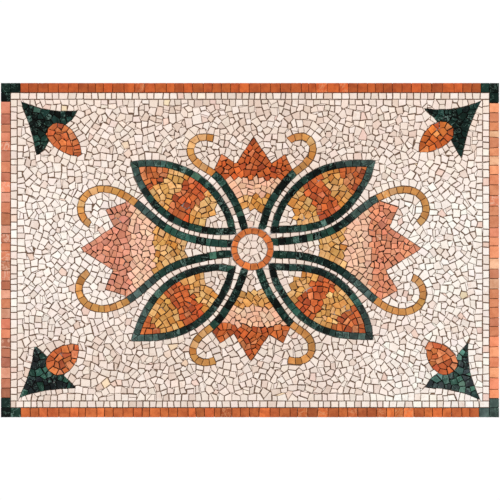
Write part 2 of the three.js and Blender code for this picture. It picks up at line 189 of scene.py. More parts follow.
def along(line, reach, length=None):
    """For grid points near a line: the window, signed distance (left is plus) and length along it."""
    win = window(line, reach)
    x, z = np.meshgrid(GU[win[1]].astype(np.float32), GW[win[0]].astype(np.float32))
    best = np.full(x.shape, 1e9, np.float32)
    dist, at = np.zeros_like(best), np.zeros_like(best)
    s0 = 0.0
    for (ax, az), (bx, bz) in zip(line[:-1], line[1:]):
        dx, dz = bx - ax, bz - az
        l = math.hypot(dx, dz)
        if l < 1e-9:
            continue
        lo_x, hi_x = min(ax, bx) - reach, max(ax, bx) + reach
        lo_z, hi_z = min(az, bz) - reach, max(az, bz) + reach
        i0, i1 = np.searchsorted(x[0], (lo_x, hi_x))
        j0, j1 = np.searchsorted(z[:, 0], (lo_z, hi_z))
        px, pz = x[j0:j1, i0:i1] - ax, z[j0:j1, i0:i1] - az
        t = np.clip((px * dx + pz * dz) / (l * l), 0, 1)
        ex, ez = px - t * dx, pz - t * dz
        d2 = ex * ex + ez * ez
        sub = best[j0:j1, i0:i1]
        m = d2 < sub
        sub[m] = d2[m]
        side = np.sign(dx * pz - dz * px)
        dist[j0:j1, i0:i1][m] = (np.sqrt(d2) * side)[m]
        at[j0:j1, i0:i1][m] = (s0 + t * l)[m]
        s0 += l
    dist[best > 1e8] = 1e6
    return win, dist, at, s0


def lumps(u, w, scale, count=24, seed=3):
    """Smooth uneven surface from a few waves, between about -1 and 1."""
    g = np.random.default_rng(seed)
    h = np.zeros_like(u)
    for _ in range(count):
        a = g.uniform(0, 2 * np.pi)
        f = g.uniform(0.5, 1.6) / scale
        h += np.sin(2 * np.pi * f * (u * math.cos(a) + w * math.sin(a)) + g.uniform(0, 6.28))
    return h / math.sqrt(count)


# region number of every grid point, and the stone it belongs to where stones are laid in rows
region = np.zeros((NZ, NX), np.int32)
stone = np.zeros((NZ, NX), np.int32)
REGIONS = [dict(name="outside", gap=0.0, kind="none")]
STONES = [0]          # region of each stone; stone 0 is the outside
ROWED = [False]       # whether the stone was laid in a row


def new_region(name, gap, kind, **more):
    REGIONS.append(dict(name=name, gap=gap, kind=kind, **more))
    return len(REGIONS) - 1


def lay_row(rid, win, mask, s, d, total, pitch, vary=0.14, lean=0.10, start=0.0, closed=False):
    """Cuts a ribbon of the grid into stones along its length s, with slightly leaning cross joints."""
    n = max(1, int(round((total - start) / pitch)))
    w = rng.normal(1, vary, n).clip(0.66, 1.4)
    cuts = start + np.concatenate([[0], np.cumsum(w)]) / w.sum() * (total - start)
    leans = rng.normal(0, lean, n + 1)
    if closed:
        leans[-1] = leans[0]
    else:
        leans[0] = leans[-1] = 0
    lean_at = np.interp(s, cuts, leans)
    k = np.clip(np.searchsorted(cuts, s + d * lean_at, side="right") - 1, 0, n - 1)
    first = len(STONES)
    STONES.extend([rid] * n)
    ROWED.extend([True] * n)
    region[win][mask] = rid
    stone[win][mask] = (first + k)[mask]


FIELD = new_region("cream_field", 1.85, "cvt", pitch=PITCH["field"], tone="cream")
region[:] = FIELD

# corners
for q in CORNERS:
    rid = new_region("calyx_" + q, 1.8, "cvt", pitch=PITCH["calyx"], tone="green", node="calyx_" + q, q=q)
    o = from_corner(q, calyx_outline(q))
    win = window(o, 2)
    region[win][inside(o, win)] = rid
    rid = new_region("bud_" + q, 1.8, "cvt", pitch=PITCH["bud"], tone="bud", node="bud_" + q, q=q)
    o = from_corner(q, bud_outline(q)[0])
    win = window(o, 2)
    region[win][inside(o, win)] = rid

# tulips
for name, (out, crown, cuts, bands) in TULIPS.items():
    across = np.array([1.0, 0]) if out[0] == 0 else np.array([0, 1.0])
    out_v = np.array(out, float)
    place = lambda p: np.array(RING_AT) + np.atleast_2d(p)[:, :1] * across + np.atleast_2d(p)[:, 1:] * out_v
    edges = []
    for q, which in bands:
        line, s = sweep(SWEEPS[q][which])
        edges.append(from_ring(q, line[s <= SWEEPS[q][which][4]]))
    o = np.vstack([place((0, 20)), edges[0], place(crown), edges[1][::-1]])
    rid = new_region("tulip_" + name, 1.6, "cvt", pitch=PITCH["fill"], tone="tulip", tulip=name, out=out_v, cuts=cuts)
    win = window(o, 2)
    region[win][inside(o, win)] = rid

# leaves: green outline stones along each side, and the fill
leaf_sides = {}
for q, (base, tip, inner, outer, shares) in LEAVES.items():
    lines = [from_ring(q, spline([base, *between, tip])) for between in (inner, outer)]
    o = np.vstack([lines[0], lines[1][::-1][1:-1]])
    win = window(o, 2)
    whole = inside(o, win)
    fill = new_region("leaf_fill_" + q, 1.5, "cvt", pitch=PITCH["fill"], tone="leaf", q=q,
                      base=from_ring(q, base)[0], tip=from_ring(q, tip)[0], shares=shares)
    region[win][whole] = fill
    ring = new_region("leaf_outline_" + q, 0.95, "row", tone="green", node="leaf_outline_" + q, q=q)
    best = np.full(region.shape, 1e6, np.float32)
    leaf_sides[q] = lines
    got = [along(line, LEAF_W + 16) for line in lines]
    for i, (w2, d, s, total) in enumerate(got):
        near = np.abs(d)
        inside_leaf = np.zeros(region.shape, bool)
        inside_leaf[win] = whole
        sub = best[w2]
        mask = inside_leaf[w2] & (near < LEAF_W) & (near < sub)
        lay_row(ring, w2, mask, s, near, total, 13.4, vary=0.13, lean=0.10)
        sub[mask] = near[mask]

# bands and curls
band_lines = {}
for q in SWEEPS:
    for which in ("inner", "outer"):
        row = SWEEPS[q][which]
        line, s_line = sweep(row)
        line = from_ring(q, line)
        band_lines[q, which] = (line, row[4])
        # the line is carried on to the ring, which is painted over its start later
        back = 4.0
        lead = (line[1] - line[0]) / math.dist(line[0], line[1])
        win, d, s, total = along(np.vstack([line[0] - back * lead, line]), 22)
        s, total = s - back, total - back
        inset = (s > 0.02 - back) & (s < total - 0.02)
        green = new_region(f"band_{q}_{which}", 0.95, "row", tone="green", node=f"band_{q}_{which}", q=q, line=line)
        gold = new_region(f"curl_{q}_{which}", 1.05, "row", tone="curl", node=f"curl_{q}_{which}", q=q)
        lay_row(green, win, (np.abs(d) < BAND_W / 2) & inset & (s <= row[4]), s, d, row[4], 13.2, vary=0.13, lean=0.10, start=-back)
        lay_row(gold, win, (np.abs(d) < CURL_W / 2) & inset & (s > row[4]), s, d, total, 12.6, vary=0.10, lean=0.08, start=row[4])

# white stripes: one row of narrow field stones between a leaf and the band beside it
for q in LEAVES:
    for side, which in ((0, "inner"), (1, "outer")):
        line = leaf_sides[q][side]
        win, d, s, total = along(line, 16)
        bline, join = band_lines[q, which]
        win2, d2, s2, total2 = along(bline, 34)
        near_band = np.full(region.shape, 1e6, np.float32)
        near_band[win2] = np.where(s2 < join + 26, np.abs(d2), 1e6)
        gap_w = np.abs(d) + near_band[win] - BAND_W / 2
        mask = (region[win] == FIELD) & (stone[win] == 0) & (gap_w < 14.5)
        lay_row(FIELD, win, mask, s, np.abs(d), total, 12.2, vary=0.18, lean=0.10)

# centre ring and disc
win = window(np.array(RING_AT) + [[-RING_R[1], -RING_R[1]], [RING_R[1], RING_R[1]]], 3)
x, z = np.meshgrid(GU[win[1]] - RING_AT[0], GW[win[0]] - RING_AT[1])
r = np.hypot(x, z)
turn = (np.degrees(np.arctan2(z, x)) + 360) % 360
rid = new_region("centre_ring", 1.2, "row", tone="ring", node="centre_ring")
mean_r = sum(RING_R) / 2
lay_row(rid, win, (r < RING_R[1]) & (r >= RING_R[0]), turn / 360 * 2 * np.pi * mean_r, r - mean_r, 2 * np.pi * mean_r, 13.0, vary=0.10, lean=0.05, closed=True)
rid = new_region("centre_disc", 1.5, "cvt", pitch=PITCH["disc"], tone="cream", node="centre_disc")
region[win][r < RING_R[0]] = rid
stone[win][r < RING_R[0]] = 0

# border runs and corner blocks, then the first row of the field inside them
XX, ZZ = np.meshgrid(GU, GW)
from_side = PANEL_W / 2 - np.abs(XX)
from_end = PANEL_H / 2 - np.abs(ZZ)
full = (slice(0, NZ), slice(0, NX))
for name, mask, s, d, a, b, pitch in (
    ("border_top", (from_end < BORDER_W) & (ZZ > 0), XX + PANEL_W / 2, ZZ, CORNER_BLOCKS["top_left"][0], PANEL_W - CORNER_BLOCKS["top_right"][0], 17.4),
    ("border_bottom", (from_end < BORDER_W) & (ZZ < 0), XX + PANEL_W / 2, ZZ, CORNER_BLOCKS["bottom_left"][0], PANEL_W - CORNER_BLOCKS["bottom_right"][0], 17.0),
    ("border_left", (from_side < BORDER_W) & (XX < 0), ZZ + PANEL_H / 2, XX, CORNER_BLOCKS["bottom_left"][1], PANEL_H - CORNER_BLOCKS["top_left"][1], 17.6),
    ("border_right", (from_side < BORDER_W) & (XX > 0), ZZ + PANEL_H / 2, XX, CORNER_BLOCKS["bottom_right"][1], PANEL_H - CORNER_BLOCKS["top_right"][1], 17.6),
):
    rid = new_region(name, 0.6 if name == "border_top" else 0.9, "row", tone=name, node=name)
    mid = (PANEL_H if d is ZZ else PANEL_W) / 2 - BORDER_W / 2
    m = mask & (s > a) & (s < b)
    lay_row(rid, full, m, s, np.abs(d) - mid, b, pitch, vary=0.12, lean=0.015, start=a)
for q, (run, drop) in CORNER_BLOCKS.items():
    rid = new_region("corner_block_" + q, 0.8, "row", tone="corner", node="corner_block_" + q, q=q)
    sx, sz = SIGN[q]
    here = (XX * sx > 0) & (ZZ * sz > 0)
    top = here & (from_end < BORDER_W) & (from_side < run)
    side = here & (from_side < BORDER_W) & (from_end < drop) & (from_end >= BORDER_W)
    first = len(STONES)
    STONES.extend([rid] * 3)
    ROWED.extend([True] * 3)
    region[top | side] = rid
    stone[top] = np.where(from_side < BORDER_W + 0.6, first, first + 1)[top]
    stone[side] = first + 2

edge = BORDER_W + EDGE_ROW
free = (region == FIELD) & (from_end >= BORDER_W) & (from_side >= BORDER_W)
for mask, s, d, a, b in (
    (free & (from_end < edge) & (ZZ > 0), XX + PANEL_W / 2, edge - from_end, BORDER_W, PANEL_W - BORDER_W),
    (free & (from_end < edge) & (ZZ < 0), XX + PANEL_W / 2, edge - from_end, BORDER_W, PANEL_W - BORDER_W),
    (free & (from_side < edge) & (from_end >= edge) & (XX < 0), ZZ + PANEL_H / 2, edge - from_side, edge, PANEL_H - edge),
    (free & (from_side < edge) & (from_end >= edge) & (XX > 0), ZZ + PANEL_H / 2, edge - from_side, edge, PANEL_H - edge),
):
    lay_row(FIELD, full, mask, s, d - EDGE_ROW / 2, b, 13.2, vary=0.16, lean=0.06, start=a)

# ---- free-laid stones: cells that settle evenly, square to the nearest outline ---------------
loose = np.where((stone == 0) & np.isin(region, [i for i, r0 in enumerate(REGIONS) if r0["kind"] == "cvt"]), region, 0)
STEP = 2
dom = np.ascontiguousarray(loose[::STEP, ::STEP])
DU, DW = GU[::STEP], GW[::STEP]
pitch2 = G * STEP


def blur(a, r):
    for axis in (0, 1):
        for _ in range(2):
            pad = [(0, 0), (0, 0)]
            pad[axis] = (r + 1, r)
            c = np.cumsum(np.pad(a, pad, mode="edge"), axis=axis)
            n = a.shape[axis]
            hi = np.take(c, np.arange(2 * r + 1, 2 * r + 1 + n), axis=axis)
            lo = np.take(c, np.arange(0, n), axis=axis)
            a = (hi - lo) / (2 * r + 1)
    return a


lie = np.zeros(dom.shape, np.float32)       # direction of the nearest outline
pull = np.zeros(dom.shape, np.float32)      # how near it is
for rid in np.unique(dom[dom > 0]):
    zs, xs = np.nonzero(dom == rid)
    z0, z1, x0, x1 = max(zs.min() - 16, 0), zs.max() + 17, max(xs.min() - 16, 0), xs.max() + 17
    m = (dom[z0:z1, x0:x1] == rid).astype(np.float32)
    near = blur(m, 4)
    far = blur(m, 11)
    gz, gx = np.gradient(near)
    fz, fx = np.gradient(far)
    gx, gz = gx + 0.6 * fx, gz + 0.6 * fz
    sel = m > 0
    lie[z0:z1, x0:x1][sel] = np.arctan2(gz, gx)[sel]
    pull[z0:z1, x0:x1][sel] = np.clip(np.hypot(gx, gz) / 0.05, 0, 1)[sel]
DX, DZ = np.meshgrid(DU, DW)
drift_c, drift_s = lumps(DX, DZ, 75, 30, 41), lumps(DX, DZ, 75, 30, 42)
vc = pull * np.cos(4 * lie) + (1 - pull) * 0.6 * drift_c
vs_ = pull * np.sin(4 * lie) + (1 - pull) * 0.6 * drift_s
lie = (np.arctan2(vs_, vc) / 4).astype(np.float32)

seeds, seed_reg = [], []
for rid in np.unique(dom[dom > 0]):
    cells = np.argwhere(dom == rid)
    want = max(1, int(round(len(cells) * pitch2 ** 2 / REGIONS[rid]["pitch"] ** 2)))
    # spread the first places evenly: shuffled cells, each kept if no kept one is close
    order = rng.permutation(len(cells))
    near_d = REGIONS[rid]["pitch"] * 0.72 / pitch2
    taken = {}
    kept = []
    size = near_d
    for k in order:
        cz, cx = cells[k]
        key = (int(cz / size), int(cx / size))
        ok = True
        for dz in (-1, 0, 1):
            for dx in (-1, 0, 1):
                for (oz, ox) in taken.get((key[0] + dz, key[1] + dx), ()):
                    if (oz - cz) ** 2 + (ox - cx) ** 2 < near_d ** 2:
                        ok = False
                        break
                if not ok:
                    break
            if not ok:
                break
        if ok:
            taken.setdefault(key, []).append((cz, cx))
            kept.append((cz, cx))
        if len(kept) >= want:
            break
    seeds.extend(kept)
    seed_reg.extend([rid] * len(kept))
seeds = np.array(seeds, float) + 0.5
seed_reg = np.array(seed_reg)
N = len(seeds)
is_field = seed_reg == FIELD
swing = np.radians(rng.normal(0, 1, N))
aspect = np.exp(rng.normal(0, 0.19, N))
size_of = np.exp(rng.normal(0, 0.11, N))


def settle(grid, places, radius, scale):
    """Gives each grid point the nearest seed of its own region, by a square turned as the seed lies."""
    iz = np.clip((places[:, 0] / scale).astype(int), 0, lie.shape[0] - 1)
    ix = np.clip((places[:, 1] / scale).astype(int), 0, lie.shape[1] - 1)
    a = lie[iz, ix] + swing * (4 + 13 * (1 - pull[iz, ix]))
    ca, sa = np.cos(a), np.sin(a)
    au, av = size_of * np.sqrt(aspect), size_of / np.sqrt(aspect)
    best = np.full(grid.shape, 1e9, np.float32)
    own = np.full(grid.shape, -1, np.int32)
    nz, nx = grid.shape
    for i in range(N):
        pz, px = places[i]
        z0, z1 = max(int(pz - radius), 0), min(int(pz + radius) + 1, nz)
        x0, x1 = max(int(px - radius), 0), min(int(px + radius) + 1, nx)
        dz = (np.arange(z0, z1) + 0.5 - pz)[:, None]
        dx = (np.arange(x0, x1) + 0.5 - px)[None, :]
        d = np.maximum(np.abs(dx * ca[i] + dz * sa[i]) / au[i], np.abs(dz * ca[i] - dx * sa[i]) / av[i])
        sub = best[z0:z1, x0:x1]
        m = (d < sub) & (grid[z0:z1, x0:x1] == seed_reg[i])
        np.copyto(sub, d, where=m, casting="unsafe")
        np.copyto(own[z0:z1, x0:x1], i, where=m)
    return own


for turn_no in range(22):
    own = settle(dom, seeds, 13, 1)
    zs, xs = np.nonzero(own >= 0)
    o = own[zs, xs]
    n = np.bincount(o, minlength=N).astype(float)
    has = n > 0
    cz = np.bincount(o, zs + 0.5, N)
    cx = np.bincount(o, xs + 0.5, N)
    new = seeds.copy()
    new[has, 0] = cz[has] / n[has]
    new[has, 1] = cx[has] / n[has]
    seeds = seeds + (new - seeds) * (1.25 if turn_no < 8 else 1.0)

own = settle(loose, seeds * STEP, 26, STEP)
first = len(STONES)
sel = own >= 0
stone[sel] = first + own[sel]
STONES.extend(seed_reg.tolist())
ROWED.extend([False] * N)
STONES = np.array(STONES)
M = len(STONES)

# ---- each stone's outline: straight cuts between it and each neighbour -----------------------
def hull(points):
    pts = sorted(map(tuple, points))
    def half(ps):
        out = []
        for p in ps:
            while len(out) >= 2 and (out[-1][0] - out[-2][0]) * (p[1] - out[-2][1]) - (out[-1][1] - out[-2][1]) * (p[0] - out[-2][0]) <= 0:
                out.pop()
            out.append(p)
        return out
    lower, upper = half(pts), half(pts[::-1])
    return lower[:-1] + upper[:-1]


def poly_area(p):
    return 0.5 * sum(p[i][0] * p[(i + 1) % len(p)][1] - p[(i + 1) % len(p)][0] * p[i][1] for i in range(len(p)))


def by_stone():
    zz, xx = np.nonzero(stone > 0)
    ids = stone[zz, xx]
    order = np.argsort(ids, kind="stable")
    return zz[order], xx[order], np.searchsorted(ids[order], np.arange(len(STONES) + 1))


# a row that wraps round a corner, or is cut through by another, is broken at the bend
for _ in range(2):
    zz, xx, starts = by_stone()
    extra = []
    for i in range(1, len(STONES)):
        sl = slice(starts[i], starts[i + 1])
        n = starts[i + 1] - starts[i]
        if n < 40:
            continue
        pts = np.column_stack([GU[xx[sl]], GW[zz[sl]]])
        h = hull(pts)
        if n * G * G > 0.74 * abs(poly_area(h)) and n * G * G < 420:
            continue
        c = pts.mean(0)
        w, vec = np.linalg.eigh(np.cov((pts - c).T))
        t = (pts - c) @ vec[:, 1]
        k = np.argsort(t)
        gaps = np.diff(t[k])
        mid = slice(int(n * 0.2), int(n * 0.8))
        j = int(np.argmax(gaps[mid])) + mid.start
        cut = (t[k][j] + t[k][j + 1]) / 2 if gaps[j] > 1.2 else 0.0
        far = t > cut
        stone[zz[sl][far], xx[sl][far]] = len(STONES) + len(extra)
        extra.append(STONES[i])
        ROWED.append(ROWED[i])
    STONES = np.concatenate([STONES, np.array(extra, int)]).astype(int)
M = len(STONES)
zz, xx, starts = by_stone()

padded = np.pad(stone, 1)
padded[0, :], padded[-1, :], padded[:, 0], padded[:, -1] = M, M + 1, M + 2, M + 3
edges = []
for axis in (0, 1):
    a = padded[:-1, 1:-1] if axis == 0 else padded[1:-1, :-1]
    b = padded[1:, 1:-1] if axis == 0 else padded[1:-1, 1:]
    zi, xi = np.nonzero(a != b)
    pa, pb = a[zi, xi], b[zi, xi]
    if axis == 0:
        x, z = GU[xi], -PANEL_H / 2 + zi * G
    else:
        x, z = -PANEL_W / 2 + xi * G, GW[zi]
    edges.append(np.column_stack([np.minimum(pa, pb), np.maximum(pa, pb), x, z]))
edges = np.vstack(edges)
edges = edges[edges[:, 0] > 0]
key = edges[:, 0].astype(np.int64) * (M + 4) + edges[:, 1].astype(np.int64)
uniq, inv = np.unique(key, return_inverse=True)
K = len(uniq)
cnt = np.bincount(inv, minlength=K).astype(float)
mx = np.bincount(inv, edges[:, 2], K) / cnt
mz = np.bincount(inv, edges[:, 3], K) / cnt
ex, ez = edges[:, 2] - mx[inv], edges[:, 3] - mz[inv]
sxx, szz, sxz = (np.bincount(inv, v, K) for v in (ex * ex, ez * ez, ex * ez))
ang = 0.5 * np.arctan2(2 * sxz, sxx - szz)
pair_a, pair_b = (uniq // (M + 4)).astype(int), (uniq % (M + 4)).astype(int)
centre_of = np.zeros((M, 2))
for i in range(1, M):
    sl = slice(starts[i], starts[i + 1])
    if starts[i + 1] > starts[i]:
        centre_of[i] = GU[xx[sl]].mean(), GW[zz[sl]].mean()

neighbours = [[] for _ in range(M)]
for k in range(K):
    a, b = pair_a[k], pair_b[k]
    edge_of_panel = b >= M
    if edge_of_panel:
        nv = ((0, -1), (0, 1), (-1, 0), (1, 0))[b - M]
        half_a = half_b = 0.0
    else:
        if cnt[k] < 4:
            nv = centre_of[b] - centre_of[a]
        else:
            nv = np.array([-math.sin(ang[k]), math.cos(ang[k])])
            if (centre_of[b] - centre_of[a]) @ nv < 0:
                nv = -nv
        l = math.hypot(*nv) or 1.0
        nv = (nv[0] / l, nv[1] / l)
        ra, rb = REGIONS[STONES[a]], REGIONS[STONES[b]]
        half_a = half_b = 0.25 * (ra["gap"] + rb["gap"])
        if ra is not rb:
            # green stones keep their full width and sharp tips: the other side gives the joint
            half_a = 0.2 if ra.get("tone") == "green" else min(half_a, 0.7)
            half_b = 0.2 if rb.get("tone") == "green" else min(half_b, 0.7)
    neighbours[a].append((nv[0], nv[1], mx[k], mz[k], half_a, cnt[k], edge_of_panel))
    if not edge_of_panel:
        neighbours[b].append((-nv[0], -nv[1], mx[k], mz[k], half_b, cnt[k], False))


def clip(poly, nx_, nz_, c):
    """The part of a convex outline where n.p <= c."""
    out = []
    n = len(poly)
    d = [p[0] * nx_ + p[1] * nz_ - c for p in poly]
    for i in range(n):
        j = (i + 1) % n
        if d[i] <= 0:
            out.append(poly[i])
        if (d[i] < 0 < d[j]) or (d[j] < 0 < d[i]):
            t = d[i] / (d[i] - d[j])
            out.append((poly[i][0] + t * (poly[j][0] - poly[i][0]), poly[i][1] + t * (poly[j][1] - poly[i][1])))
    return out


def tidy(p, least, reach):
    """Sharpens corners that lie closer together than a cutter leaves them."""
    changed = True
    while changed and len(p) > 3:
        changed = False
        n = len(p)
        short = sorted(range(n), key=lambda i: math.dist(p[i], p[(i + 1) % n]))
        for i in short:
            a, b = p[i], p[(i + 1) % n]
            l = math.dist(a, b)
            if l > least:
                break
            z, c = p[i - 1], p[(i + 2) % n]
            d1 = (a[0] - z[0], a[1] - z[1])
            d2 = (b[0] - c[0], b[1] - c[1])
            det = d1[0] * d2[1] - d1[1] * d2[0]
            mid = ((a[0] + b[0]) / 2, (a[1] + b[1]) / 2)
            new = None
            if abs(det) > 1e-6:
                t = ((b[0] - a[0]) * d2[1] - (b[1] - a[1]) * d2[0]) / det
                q = (a[0] + t * d1[0], a[1] + t * d1[1])
                if t > 0 and math.dist(q, mid) < reach:
                    new = q
            if new is None and l < 1.0:
                new = mid
            if new is None:
                continue
            j = (i + 1) % n
            p = [new if k == i else q for k, q in enumerate(p) if k != j]
            changed = True
            break
    return p


def square_up(p, want, most, grow=True):
    """Brings a stone to few sides: each time by the cut, or the squared corner, that changes it least."""
    while len(p) > want:
        n = len(p)
        limit = most * abs(poly_area(p))
        best = None
        for i in range(n):
            z, a, b, c = p[i - 1], p[i], p[(i + 1) % n], p[(i + 2) % n]
            loss = abs((a[0] - z[0]) * (b[1] - z[1]) - (a[1] - z[1]) * (b[0] - z[0])) / 2
            d1 = (a[0] - z[0], a[1] - z[1])
            pointed = d1[0] * (a[0] - b[0]) + d1[1] * (a[1] - b[1]) > 0.47 * math.dist(z, a) * math.dist(a, b)
            if loss < limit and not pointed and (best is None or loss < best[0]):
                best = (loss, i, None)
            d2 = (b[0] - c[0], b[1] - c[1])
            det = d1[0] * d2[1] - d1[1] * d2[0]
            if not grow or abs(det) < 1e-6:
                continue
            t = ((b[0] - a[0]) * d2[1] - (b[1] - a[1]) * d2[0]) / det
            v = ((b[0] - a[0]) * d1[1] - (b[1] - a[1]) * d1[0]) / det
            if t <= 0 or v <= 0:
                continue
            q = (a[0] + t * d1[0], a[1] + t * d1[1])
            if math.dist(q, a) > 5.0 or math.dist(q, b) > 5.0:
                continue
            gain = 0.85 * abs((q[0] - a[0]) * (b[1] - a[1]) - (q[1] - a[1]) * (b[0] - a[0])) / 2
            if gain < limit and (best is None or gain < best[0]):
                best = (gain, i, q)
        if best is None:
            break
        _, i, q = best
        j = (i + 1) % n
        if q is None:
            p = [r for k, r in enumerate(p) if k != i]
        else:
            p = [q if k == i else r for k, r in enumerate(p) if k != j]
    return p


def give_way(p, laid, least):
    """Cuts a stone back along the edge of one already laid, where the two would meet."""
    a = np.array(p)
    b = np.array(laid)
    def best_edge(of, other):
        e = np.roll(of, -1, 0) - of
        n = np.column_stack([e[:, 1], -e[:, 0]])
        n /= np.maximum(np.hypot(n[:, 0], n[:, 1]), 1e-9)[:, None]
        c = (n * of).sum(1)
        far = (other @ n.T - c).min(0)
        k = int(np.argmax(far))
        return far[k], n[k], c[k]
    fb, nb, cb = best_edge(b, a)
    if fb >= least:
        return p
    fa, na, ca = best_edge(a, b)
    if fa >= least:
        return p
    if fb >= fa:
        return clip(p, -nb[0], -nb[1], -(cb + least))
    # its own edge is the better parting line: move that edge inwards
    return clip(p, na[0], na[1], ca - (least - fa))


near_to = [set() for _ in range(M)]
for k in range(K):
    a, b = int(pair_a[k]), int(pair_b[k])
    if b < M:
        near_to[a].add(b)
        near_to[b].add(a)

first_cut = {}
for i in range(1, M):
    sl = slice(starts[i], starts[i + 1])
    n_own = starts[i + 1] - starts[i]
    tip = REGIONS[STONES[i]]["name"].startswith("calyx")
    if n_own * G * G < (5 if tip else 16):
        continue
    pts = np.column_stack([GU[xx[sl]], GW[zz[sl]]])
    r0 = REGIONS[STONES[i]]
    corners = np.vstack([pts + [sx * G / 2, sz * G / 2] for sx in (-1, 1) for sz in (-1, 1)])
    p = hull(corners)
    rough = rng.random(len(neighbours[i]))
    loose_laid = not ROWED[i]
    for k, (nx_, nz_, ox, oz, half, n, outer) in enumerate(sorted(neighbours[i], key=lambda t: -t[5])):
        if n < 2 and not outer:
            continue
        at_ = nx_ * ox + nz_ * oz
        if not outer and np.mean(pts @ (nx_, nz_) > at_ + 0.5) > 0.13:
            continue
        more = 0.0 if outer else half * ((0.3 + 1.2 * rough[k] ** 1.5) if loose_laid else (0.7 + 0.5 * rough[k]))
        p2 = clip(p, nx_, nz_, at_ - more)
        few, kept = (8, 0.86) if loose_laid else (6, 0.86) if STONES[i] == FIELD else (13, 0.93)
        if len(p2) < 3 or (n < few and not outer and poly_area(p2) < kept * poly_area(p)):
            continue
        p = p2
    if len(p) < 3:
        continue
    straight = r0["name"].startswith(("border", "corner_b"))
    if loose_laid:
        p = tidy(p, 4.4, 2.3)
        p = square_up(p, 5 if tip else rng.choice((4, 5, 3), p=(0.78, 0.18, 0.04)), 0.16)
    else:
        p = tidy(p, 1.2 if straight else 2.5, 0.4 if straight else 1.25)
    if len(p) >= 3 and poly_area(p) > (5 if tip else 11):
        first_cut[i] = (p, loose_laid)

outlines = []          # (stone, outline)
laid = {}
rows = [i for i in first_cut if not first_cut[i][1]]
free = [i for i in first_cut if first_cut[i][1]]
rng.shuffle(free)
free.sort(key=lambda i: STONES[i] == FIELD)      # the ornaments first, then the field round them
for i in rows + free:
    p, loose_laid = first_cut[i]
    if loose_laid:
        close = set(near_to[i])
        for j in near_to[i]:
            close |= near_to[j]
        close.discard(i)
        c = centre_of[i]
        for j in close:
            if j in laid and math.dist(centre_of[j], c) < 26:
                p = give_way(p, laid[j], 0.45)
                if len(p) < 3:
                    break
        if len(p) < 3:
            continue
        p = tidy(p, 1.2, 0.7)
        p = square_up(p, 4, 0.035, False)
    least_area = 5 if REGIONS[STONES[i]]["name"].startswith("calyx") else 11
    if len(p) < 3 or poly_area(p) < least_area:
        continue
    laid[i] = p
    parts = [p]
    if loose_laid and poly_area(p) > 100 and rng.random() < 0.07:
        # now and then a stone is made up of two offcuts
        turn_ = rng.uniform(0, np.pi)
        nx_, nz_ = math.cos(turn_), math.sin(turn_)
        at_ = nx_ * centre_of[i][0] + nz_ * centre_of[i][1] + rng.normal(0, 1.2)
        parts = [clip(p, nx_, nz_, at_ - 0.45), clip(p, -nx_, -nz_, -at_ - 0.45)]
    for part in parts:
        part = tidy(part, 1.0, 0.8) if len(part) > 3 else part
        if len(part) >= 3 and poly_area(part) > (least_area if len(parts) == 1 else 24):
            outlines.append((i, part))

# ---- chips: small pieces for the gaps that the squared stones leave ------------------------------
covered = np.zeros(region.shape, bool)
for p in laid.values():
    q = np.array(p)
    x0, x1 = np.clip(((q[:, 0].min() + PANEL_W / 2) / G, (q[:, 0].max() + PANEL_W / 2) / G + 1), 0, NX).astype(int)
    z0, z1 = np.clip(((q[:, 1].min() + PANEL_H / 2) / G, (q[:, 1].max() + PANEL_H / 2) / G + 1), 0, NZ).astype(int)
    gx, gz = GU[x0:x1][None, :], GW[z0:z1][:, None]
    ok = np.ones((z1 - z0, x1 - x0), bool)
    for k in range(len(q)):
        a, b = q[k], q[(k + 1) % len(q)]
        ok &= (b[0] - a[0]) * (gz - a[1]) - (b[1] - a[1]) * (gx - a[0]) >= 0
    covered[z0:z1, x0:x1] |= ok
free_region = np.array([r0["kind"] == "cvt" for r0 in REGIONS])[region]
hollow = np.pad(~covered & free_region, 1)
core = np.ones(region.shape, bool)
for dz in (0, 1, 2):
    for dx in (0, 1, 2):
        core &= hollow[dz:dz + region.shape[0], dx:dx + region.shape[1]]
todo = set(zip(*[v.tolist() for v in np.nonzero(core)]))
chips = 0
while todo:
    first = min(todo)
    todo.discard(first)
    stack, cells = [first], []
    while stack:
        z, x = stack.pop()
        cells.append((z, x))
        for dz in (-1, 0, 1):
            for dx in (-1, 0, 1):
                if (z + dz, x + dx) in todo:
                    todo.discard((z + dz, x + dx))
                    stack.append((z + dz, x + dx))
    if len(cells) < 6:
        continue
    cells = np.array(cells)
    pts = np.column_stack([GU[cells[:, 1]], GW[cells[:, 0]]])
    own = np.bincount(stone[cells[:, 0], cells[:, 1]]).argmax()
    if own == 0:
        continue
    p = hull(np.vstack([pts + [sx * G / 2, sz * G / 2] for sx in (-1, 1) for sz in (-1, 1)]))
    p = square_up(tidy(p, 2.0, 1.0), 4, 0.2)
    close = {own} | near_to[own]
    for j in list(close):
        close |= near_to[j]
    for j in sorted(close):
        if j in laid:
            p = give_way(p, laid[j], 0.5)
            if len(p) < 3:
                break
    if len(p) >= 3:
        p = tidy(p, 1.0, 0.7)
    if len(p) >= 3 and poly_area(p) > 5.5:
        outlines.append((own, p))
        chips += 1

# ---- tones: broad areas of stone colour, one piece of stone at a time --------------------------
def lin(r, g, b):
    c = np.array([r, g, b], float) / 255
    return np.where(c <= 0.04045, c / 12.92, ((c + 0.055) / 1.055) ** 2.4)


def pick(mean, spread, drift=0.035):
    """A stone's own colour: lighter or darker as a whole, and a little to one side in hue."""
    k = math.exp(rng.normal(0, spread))
    return np.clip(np.array(mean) * k * np.exp(rng.normal(0, drift, 3)), 0, 255)


def ease(x, lo, hi):
    t = min(max((x - lo) / (hi - lo), 0.0), 1.0)
    return t * t * (3 - 2 * t)


